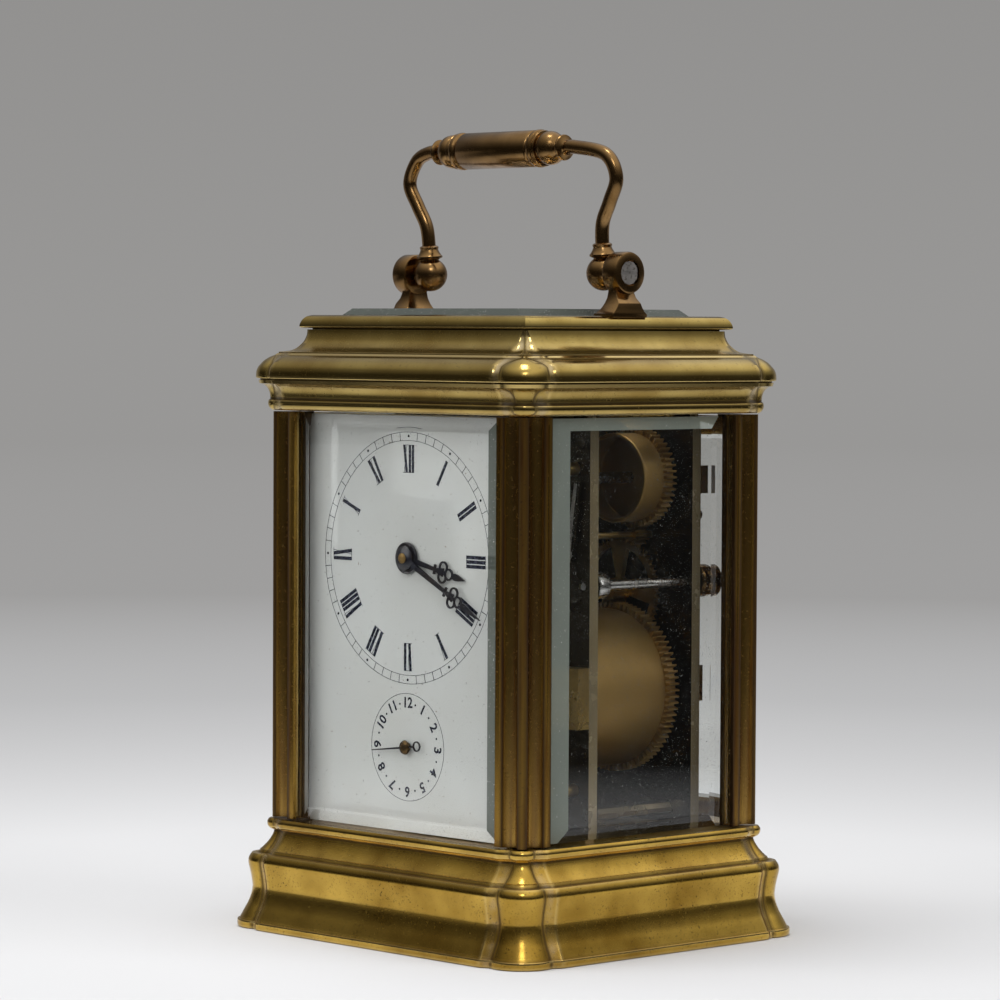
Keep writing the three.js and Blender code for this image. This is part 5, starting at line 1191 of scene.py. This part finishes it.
def makePrint(look):
    front, back = look["front"] - look["ink"], look["front"]
    parts = []
    numerals = ("XII", "I", "II", "III", "IIII", "V", "VI", "VII", "VIII", "IX", "X", "XI")
    for hour, text in enumerate(numerals):
        for k, stroke in enumerate(numeralStrokes(text, look)):
            outline = turnAbout(stroke, math.radians(30 * hour), look["centre"])
            parts.append(prism("stroke", outline, front + look["inkStep"] * (k % 3), back, dialBlack))
    for radius in (look["ringOuter"], look["ringInner"]):
        parts.append(hoop("line", look["centre"], radius, radius - look["line"], front, back, dialBlack))
    parts.append(hoop("line", look["alarm"], look["alarmRing"], look["alarmRing"] - look["line"], front, back,
                      dialBlack, 96))
    x, z = look["centre"]
    middle = Vector((x, look["front"] - look["ink"] / 2, z)) * mm
    depth, corner = look["ink"] * mm, look["corner"] * mm
    span = look["ringOuter"] - look["ringInner"]
    parts.append(growRing("ticks", {
        "Count": 60, "Radius": look["ringInner"] * mm, "Sides": 4, "Foot": corner, "Tip": corner,
        "Height": span * mm, "Stretch": (look["tick"], look["ink"], 1.0), "Every": 5, "Leave": 0,
        "Middle": middle}, dialBlack))
    parts.append(growRing("dots", {
        "Count": 12, "Radius": (look["ringInner"] + span / 2) * mm, "Sides": 20, "Foot": look["dot"] * mm,
        "Tip": look["dot"] * mm, "Height": depth, "Tilt": (math.pi / 2, 0, 0), "Middle": middle}, dialBlack))
    x, z = look["alarm"]
    low = Vector((x, look["front"] - look["ink"] / 2, z)) * mm
    parts.append(growRing("dots", {
        "Count": 12, "Radius": look["alarmNumberAt"] * mm, "Sides": 14, "Foot": look["alarmDot"] * mm,
        "Tip": look["alarmDot"] * mm, "Height": depth, "Tilt": (math.pi / 2, 0, 0),
        "Start": math.pi / 12, "Middle": low}, dialBlack))
    for hour in range(1, 13):
        parts.append(printedNumber(str(hour), math.radians(30 * hour), look))
    thing = gather("dial_print", parts, dialBlack)
    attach(thing, "case")


def printedNumber(text, angle, look):
    curve = bpy.data.curves.new("number", "FONT")
    curve.body = text
    curve.size = look["alarmNumber"] * mm
    curve.align_x = "CENTER"
    curve.align_y = "CENTER"
    curve.extrude = look["ink"] / 2 * mm
    curve.offset = look["alarmBold"] * mm
    curve.resolution_u = 3
    holder = bpy.data.objects.new("number", curve)
    bpy.context.collection.objects.link(holder)
    mesh = bpy.data.meshes.new_from_object(holder.evaluated_get(bpy.context.evaluated_depsgraph_get()))
    bpy.data.objects.remove(holder)
    thing = bpy.data.objects.new("number", mesh)
    bpy.context.collection.objects.link(thing)
    x, z = look["alarm"]
    stand = Matrix.Rotation(math.pi / 2, 4, "X")
    lift = Matrix.Translation((0, 0, look["alarmNumberAt"] * mm))
    place = Matrix.Translation(Vector((x, look["front"] - look["ink"] / 2, z)) * mm)
    mesh.transform(place @ Matrix.Rotation(angle, 4, "Y") @ lift @ stand)
    return thing


# The enamelled plate with its rounded rim, and the brass feet behind it
plateLook = {
    "halfWidth": 33.4, "bottom": 25.2, "top": 116.6, "back": -29.9, "round": 0.35, "holes": (2.95, 1.1),
    "foot": 1.5, "feet": ((-27, 34.5), (27, 34.5), (-27, 105), (27, 105)), "footBack": -8.0, "footSteps": 24,
    "sharp": 40,
}


def makeDial(look):
    x, low, high, over = look["halfWidth"], look["bottom"], look["top"], caseSize["overrun"]
    thing = addBlock("dial_enamel", (-x, dialLook["front"], low), (x, look["back"], high), enamel)
    bevel(thing, look["round"], 3)
    for at, hole in zip((dialLook["centre"], dialLook["alarm"]), look["holes"]):
        cut(thing, rod(at, hole, dialLook["front"] - over, look["back"] + over, enamel))
    smooth(thing, look["sharp"])
    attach(thing, "case")
    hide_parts("dial_plate")
    feet = [rod(at, look["foot"], look["back"], look["footBack"], movementBrass, look["footSteps"])
            for at in look["feet"]]
    whole = gather("dial_feet", feet, movementBrass)
    smooth(whole, look["sharp"])
    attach(whole, "case")
    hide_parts("dial_plate")


makeDial(plateLook)
makePrint(dialLook)
print("dial made")


# Hands: a stem, a trefoil of three rings, a leaf point and a boss, drawn along +Z from the arbor.
# Outlines are pairs of half width and height. The stem's top, the collar and the link stand
# above or below the trefoil's middle, and the point is measured in ring offsets from it.
handLook = {
    "thick": 0.35, "ring": 1.35, "wall": 0.42, "minuteBack": -32.05, "hourBack": -31.35,
    "minute": {"length": 27.5, "trefoil": 18.7, "boss": 2.7, "dome": 0.5, "angle": 117.0},
    "hour": {"length": 19.5, "trefoil": 13.2, "boss": 3.5, "dome": 0.05, "angle": 102.5},
    "stemFoot": 0.72, "stemTop": (0.4, -3.4), "collar": ((1.05, -4.1), (1.15, -3.8), (1.05, -3.5)),
    "link": ((0.38, -3.6), (0.95, -1.0)), "point": ((0.45, 1.5), (0.78, 2.5), (0.7, 3.3)), "topRing": 0.7,
    "bossEdge": (0.93, 0.12), "crown": ((0.62, 0.8), (0.3, 1), (0, 1)),
    "pin": ((0, -32.3), (1.15, -32.3), (1.15, -32.95), (1.0, -33.1), (0.55, -33.15), (0.4, -33.3),
            (0, -33.32)),
    "ringSteps": 32, "bossSteps": 48, "pinSteps": 32, "sharp": 30, "pinSharp": 40,
}


# A closed outline from its right half, which runs upwards
def bothSides(half):
    x, z = half[0]
    return [(-x, z)] + half + [(-u, v) for u, v in reversed(half[1:]) if u]


def makeTrefoilHand(name, sizes, back, body, look):
    front = back - look["thick"]
    middle, ring, boss = sizes["trefoil"], look["ring"], sizes["boss"]
    offset = ring - look["wall"] / 2

    def flat(half):
        return prism("tool", bothSides(half), front, back, bluedSteel)

    topHalf, topRise = look["stemTop"]
    stem = flat([(look["stemFoot"], 0), (topHalf, middle + topRise)])
    collar = flat([(x, middle + up) for x, up in look["collar"]])
    link = flat([(x, middle + up) for x, up in look["link"]])
    point = flat([(x, middle + up * offset) for x, up in look["point"]] + [(0, sizes["length"])])
    places = ((-offset, middle - offset), (offset, middle - offset), (0, middle + look["topRing"] * offset))
    rings = [hoop("tool", place, ring, ring - look["wall"], front, back, bluedSteel, look["ringSteps"])
             for place in places]
    share, drop = look["bossEdge"]
    crown = [(0, back), (boss, back), (boss, front), (boss * share, front - drop)]
    crown += [(boss * r, front - sizes["dome"] * up) for r, up in look["crown"]]
    turned = lathe("tool", crown, bluedSteel, look["bossSteps"], "Y")
    join(stem, collar, link, point, *rings, turned)
    stem.name = name + "_blued"
    x, z = dialLook["centre"]
    turn = Matrix.Rotation(math.radians(sizes["angle"]), 4, "Y")
    stem.data.transform(Matrix.Translation(Vector((x, 0, z)) * mm) @ turn)
    smooth(stem, look["sharp"])
    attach(stem, body)
    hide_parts(name)


# Brass collet pin at the middle of the minute hand
def makeCentrePin(look, at):
    x, z = at
    thing = lathe("minute_hand_pin", look["pin"], drumBrass, look["pinSteps"], "Y", (x, 0, z))
    smooth(thing, look["pinSharp"])
    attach(thing, "centre_arbor")
    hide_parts("minute_hand")


# Alarm hand: a fine pointer, a ring at its tail and a bronze boss
alarmHandLook = {
    "front": -32.0, "back": -31.7, "wide": 0.24, "tip": 0.45, "length": 10.9, "tail": 3.0, "tailTop": 0.2,
    "ring": 1.15, "ringAt": 0.8, "ringWall": 0.28, "ringSteps": 36, "bossSteps": 40, "angle": 263,
    "boss": ((0, -31.3), (1.0, -31.3), (1.0, -31.6), (1.5, -31.65), (1.6, -31.85), (1.45, -32.15),
             (0.9, -32.4), (0.8, -32.3), (0, -32.3)),
    "sharp": 35,
}


def makeAlarmHand(look):
    x, z = dialLook["alarm"]
    front, back, wide, ring = look["front"], look["back"], look["wide"], look["ring"]
    pointed = bothSides([(wide, 0), (wide * look["tip"], look["length"])])
    pointer = prism("alarm_hand_blued", pointed, front, back, bluedSteel)
    tailed = bothSides([(wide, -look["tail"]), (wide, look["tailTop"])])
    tail = prism("tool", tailed, front, back, bluedSteel)
    place = (0, -look["tail"] - ring * look["ringAt"])
    loop = hoop("tool", place, ring, ring - look["ringWall"], front, back, bluedSteel, look["ringSteps"])
    join(pointer, tail, loop)
    turn = Matrix.Rotation(math.radians(look["angle"]), 4, "Y")
    pointer.data.transform(Matrix.Translation(Vector((x, 0, z)) * mm) @ turn)
    boss = lathe("alarm_hand_boss", look["boss"], darkBronze, look["bossSteps"], "Y", (x, 0, z))
    for thing, slot in ((pointer, "blued_steel"), (boss, "movement_brass")):
        smooth(thing, look["sharp"])
        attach(thing, "alarm_pointer")
        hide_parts("alarm_hand")


makeCentrePin(handLook, dialLook["centre"])
makeAlarmHand(alarmHandLook)
makeTrefoilHand("minute_hand", handLook["minute"], handLook["minuteBack"], "centre_arbor", handLook)
makeTrefoilHand("hour_hand", handLook["hour"], handLook["hourBack"], "hour_pipe", handLook)
print("hands made")


# The two spring drums: round drums with a toothed wheel behind. One flank of a tooth is given as
# shares of the pitch, from below the root to the tip.
goingDrumLook = {
    "at": (11.2, 54.9), "teeth": 84, "module": 0.445, "phase": 0.01, "wheel": (18.5, 21.5), "bore": 2.2,
    "profile": ((2.2, -3.9), (15.6, -3.9), (15.9, -4.1), (17.2, -4.1), (17.65, -3.7), (17.7, -3.2),
                (17.7, 18.0), (17.6, 18.6)),
}
alarmDrumLook = {
    "at": (17.8, 102.4), "teeth": 50, "module": 0.43, "phase": 0.02, "wheel": (18.7, 21.7), "bore": 1.3,
    "profile": ((1.3, 17.9), (9.0, 17.9), (9.2, 17.7), (9.2, 12.9), (9.35, 12.7), (9.85, 12.7), (10, 12.9),
                (10, 18.4), (9.9, 18.8)),
    "arbor": (-7.9, 27.0), "square": (0.95, 26.7, 31.3),
}
toothLook = {"rootDepth": 1.3, "sink": 0.3, "roundOff": 0.15, "shares": (-0.3, -0.24, -0.16, -0.08)}
drumLook = {"steps": 128, "boreSteps": 32, "sharp": 35}


def toothedOutline(look, tooth):
    radius = look["teeth"] * look["module"] / 2
    root, tip = radius - tooth["rootDepth"] * look["module"], radius + look["module"]
    flank = list(zip((root - tooth["sink"], root, tip - tooth["roundOff"], tip), tooth["shares"]))
    flank += [(reach, -share) for reach, share in reversed(flank)]
    x, z = look["at"]
    outline = []
    for i in range(look["teeth"]):
        for reach, share in flank:
            angle = look["phase"] + 2 * math.pi * (i + share) / look["teeth"]
            outline.append((x + reach * math.cos(angle), z + reach * math.sin(angle)))
    return outline


def makeDrum(name, body, look):
    x, z = look["at"]
    front, back = look["wheel"]
    over = caseSize["overrun"]
    first, *_, last = look["profile"]
    profile = [*look["profile"], (look["bore"], last[1]), first]
    drum = lathe(name + "_drum", profile, drumBrass, drumLook["steps"], "Y", (x, 0, z))
    wheel = prism("wheel", toothedOutline(look, toothLook), front, back, drumBrass)
    cut(wheel, rod(look["at"], look["bore"], front - over, back + over, drumBrass, drumLook["boreSteps"]))
    join(drum, wheel)
    smooth(drum, drumLook["sharp"])
    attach(drum, body)
    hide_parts(name)


def makeAlarmArbor(look):
    x, z = look["at"]
    half, front, back = look["square"]
    arbor = rod(look["at"], look["bore"], *look["arbor"], steel)
    join(arbor, addBlock("square", (x - half, front, z - half), (x + half, back, z + half), steel))
    arbor.name = "alarm_arbor_steel"
    smooth(arbor, drumLook["sharp"])
    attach(arbor, "alarm_drum")
    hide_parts("alarm_barrel")


makeDrum("going_barrel", "great_wheel", goingDrumLook)
makeDrum("alarm_barrel", "alarm_drum", alarmDrumLook)
makeAlarmArbor(alarmDrumLook)
print("drums made")


# Stop knob on its steel arbor, with the cup near the front plate
stopLook = {
    "at": (29.2, 79.3), "arbor": 0.8, "front": -7.6, "back": 27.0, "stout": (1.15, -4.8, 23.9),
    "cup": ((0.7, -4.9), (2.6, -4.9), (2.85, -4.7), (2.9, -4.4), (2.9, -2.0), (2.7, -1.6), (0.7, -1.6)),
    "knob": ((0, 27.0), (3.15, 27.0), (3.5, 27.25), (3.65, 27.5), (3.65, 28.3), (3.4, 28.5), (3.15, 28.7),
             (3.4, 28.9), (3.65, 29.1), (3.65, 30.4), (3.4, 30.95), (2.75, 31.4), (0, 31.4)),
    "pin": (0.35, 31.2, 32.5), "pinShift": 1.46, "steps": 64, "pinSteps": 16, "sharp": 35,
}


def makeStop(look):
    x, z = look["at"]
    arbor = rod(look["at"], look["arbor"], look["front"], look["back"], steel)
    stout = rod(look["at"], *look["stout"], steel)
    cup = lathe("cup", [*look["cup"], look["cup"][0]], steel, look["steps"], "Y", (x, 0, z))
    join(arbor, stout, cup)
    arbor.name = "stop_arbor_steel"
    knob = lathe("stop_knob_bronze", look["knob"], darkBronze, look["steps"], "Y", (x, 0, z))
    pinAt = (x + look["pinShift"], z + look["pinShift"])
    join(knob, rod(pinAt, *look["pin"], darkBronze, look["pinSteps"]))
    for thing, slot in ((arbor, "steel"), (knob, "handle_brass")):
        smooth(thing, look["sharp"])
        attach(thing, "stop_arbor")
        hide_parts("stop_knob")


makeStop(stopLook)
print("stop knob made")


# What stays from the CAD model gets its finish here
kept = (
    (mouldBrass, ("door_frame", "door_knob")),
    (baseBrass, ("base_plate",)),
    (screwSteel, ("left_pivot_screw", "right_pivot_screw")),
    (steel, ("barrel_arbor", "ratchet_wheel", "cannon_pinion", "alarm_lever", "alarm_hammer", "bell_post",
             "back_screw", "pallet_lever", "hairspring")),
    (shadedPlateBrass, ("front_plate",)),
    (shadedBackPlateBrass, ("back_plate",)),
    (movementBrass, ("barrel_cock", "click_plate", "alarm_bell", "back_cock", "platform_plate",
                     "balance_cock", "centre_wheel", "hour_wheel", "minute_wheel", "intermediate_wheel",
                     "third_wheel", "contrate_wheel", "escape_wheel", "balance_wheel",
                     "alarm_escape_wheel", "alarm_setting_arbor", "alarm_wheel")),
)
for finish, names in kept:
    for name in names:
        slots = nodes[name].data.materials
        slots.clear()
        slots.append(finish)
print("kept nodes dressed")


# Stage: a pale floor that greys with distance, and a grey backdrop. Near the clock the floor is lit
# by the lamps; further out it glows with a painted tone, and mirrored rays see it painted dark. What
# the metal mirrors is the room at the sides: dark at the horizon, softly lit above, more so on the right.
stageLook = {
    "near": (0.72, 0.72, 0.73), "middle": (0.5, 0.5, 0.505), "far": (0.345, 0.34, 0.337),
    "low": (0.315, 0.31, 0.305), "high": (0.27, 0.265, 0.26), "highAt": 0.13, "fill": 0.1,
    "rings": (0.1, 300, 600, 1200, 2400, 4000), "steps": 96, "toneAt": (0.05, 0.15, 0.3, 1.0),
    "floorBehind": (0.1, 0.5), "floorDark": (0.16, 0.42), "floorFade": (0.2, 0.5),
    "wallBehind": (0.4, 0.75), "wallHeight": (0.55, 0.25), "aside": (-0.35, 0.35), "lampAim": (0, 0, 0.09),
    "left": [(0.0, (0.03, 0.028, 0.026)), (0.2, (0.05, 0.048, 0.045)), (0.45, (0.17, 0.165, 0.16)),
             (0.7, (0.5, 0.495, 0.49)), (1.0, (1.0, 1.0, 1.0))],
    "right": [(0.0, (0.035, 0.033, 0.031)), (0.15, (0.08, 0.078, 0.075)), (0.4, (0.32, 0.315, 0.31)),
              (0.7, (1.1, 1.09, 1.08)), (1.0, (1.2, 1.2, 1.2))],
}
lampLook = {
    "overhead": {"spot": (-0.15, -0.15, 1.5), "size": 1.2, "power": 18, "mirrored": False},
    "sparkle": {"spot": (0.1, -0.1, 1.4), "size": 0.3, "power": 3, "mirrored": True},
    "glint": {"spot": (0.75, -0.65, 0.95), "size": 0.3, "power": 1.7, "mirrored": True},
    "front left": {"spot": (-0.9, -1.5, 0.8), "size": 1.4, "power": 13, "mirrored": False},
    "right": {"spot": (1.5, 0.6, 0.9), "size": 1.0, "power": 9, "mirrored": False},
}
facing = math.radians(cameraPlace["azimuth"])
ahead = (-math.sin(facing), math.cos(facing), 0)
rightward = (math.cos(facing), math.sin(facing), 0)


def rayShare(make, *kinds):
    paths = make.node("LightPath").socket.node
    share = Wire(make.tree, paths.outputs[kinds[0]])
    for kind in kinds[1:]:
        share = share.most(Wire(make.tree, paths.outputs[kind]))
    return share


def along(make, place, direction):
    return make.node("VectorMath", {"operation": "DOT_PRODUCT"}, {0: place, 1: direction}, "Value")


def makeFloor(look):
    steps, rings = look["steps"], look["rings"]
    points = [(r * math.cos(2 * math.pi * i / steps), r * math.sin(2 * math.pi * i / steps), 0)
              for r in rings for i in range(steps)]
    faces = []
    for k in range(len(rings) - 1):
        low, high = k * steps, (k + 1) * steps
        faces += [(low + i, high + i, high + (i + 1) % steps, low + (i + 1) % steps) for i in range(steps)]
    make = Finish("floor")
    place = make.place()
    distance = make.node("VectorMath", {"operation": "LENGTH"}, {0: place}, "Value")
    stops = list(zip(look["toneAt"], (look["near"], look["middle"], look["far"], look["low"])))
    tone = make.node("ValToRGB", {"stops": stops}, {"Fac": distance / (rings[-1] * mm)})
    behind = make.band(along(make, place, ahead), *look["floorBehind"])
    mirrored = rayShare(make, "Is Glossy Ray", "Is Transmission Ray")
    dark = make.band(distance, *look["floorDark"]) * (1.0 - behind) * mirrored
    shown = make.blend(dark, tone, look["left"][0][1])
    lit = make.node("BsdfDiffuse", None, {"Color": tone})
    # The far floor glows with its painted tone in place of lamp light
    glow = make.node("Emission", None, {"Color": shown, "Strength": 1.0})
    seen = rayShare(make, "Is Camera Ray", "Is Glossy Ray", "Is Transmission Ray")
    share = (make.band(distance, *look["floorFade"]) * seen).most(dark)
    finish = make.surface(make.node("MixShader", None, {"Fac": share, 1: lit, 2: glow}))
    addMesh("floor", points, faces, finish)


def makeWorld(look):
    world = bpy.data.worlds.new("surround")
    world.use_nodes = True
    bpy.context.scene.world = world
    make = Finish.__new__(Finish)
    make.tree = world.node_tree
    make.tree.nodes.clear()
    direction = make.node("TexCoord", output="Generated")
    height = Wire(make.tree, make.node("SeparateXYZ", None, {"Vector": direction}).socket.node.outputs["Z"])
    stops = [(0.0, look["low"]), (look["highAt"], look["high"])]
    backdrop = make.node("ValToRGB", {"stops": stops}, {"Fac": height})
    behind = make.band(along(make, direction, ahead), *look["wallBehind"])
    behind = behind * make.band(height, *look["wallHeight"])
    aside = make.band(along(make, direction, rightward), *look["aside"])
    room = make.blend(aside, make.node("ValToRGB", {"stops": look["left"]}, {"Fac": height}),
                      make.node("ValToRGB", {"stops": look["right"]}, {"Fac": height}))
    seen = make.blend(behind.most(rayShare(make, "Is Camera Ray")), room, backdrop)
    shown = make.node("Background", None, {"Color": seen, "Strength": 1.0})
    light = make.node("Background", None, {"Color": (look["fill"],) * 3 + (1,), "Strength": 1.0})
    share = rayShare(make, "Is Camera Ray", "Is Glossy Ray", "Is Transmission Ray")
    both = make.node("MixShader", None, {"Fac": share, 1: light, 2: shown})
    end = make.tree.nodes.new("ShaderNodeOutputWorld")
    make.tree.links.new(both.socket, end.inputs["Surface"])


def addLamp(name, look, aim):
    data = bpy.data.lights.new(name, "AREA")
    data.shape = "SQUARE"
    data.size = look["size"]
    data.energy = look["power"]
    lamp = bpy.data.objects.new(name, data)
    lamp.location = look["spot"]
    lamp.rotation_euler = (Vector(aim) - Vector(look["spot"])).to_track_quat("-Z", "Y").to_euler()
    lamp.visible_glossy = look["mirrored"]
    bpy.context.collection.objects.link(lamp)


makeFloor(stageLook)
makeWorld(stageLook)
for name, look in lampLook.items():
    addLamp(name, look, stageLook["lampAim"])
bpy.context.scene.view_settings.view_transform = "Standard"
print("stage and lamps set")

print("all pieces made")
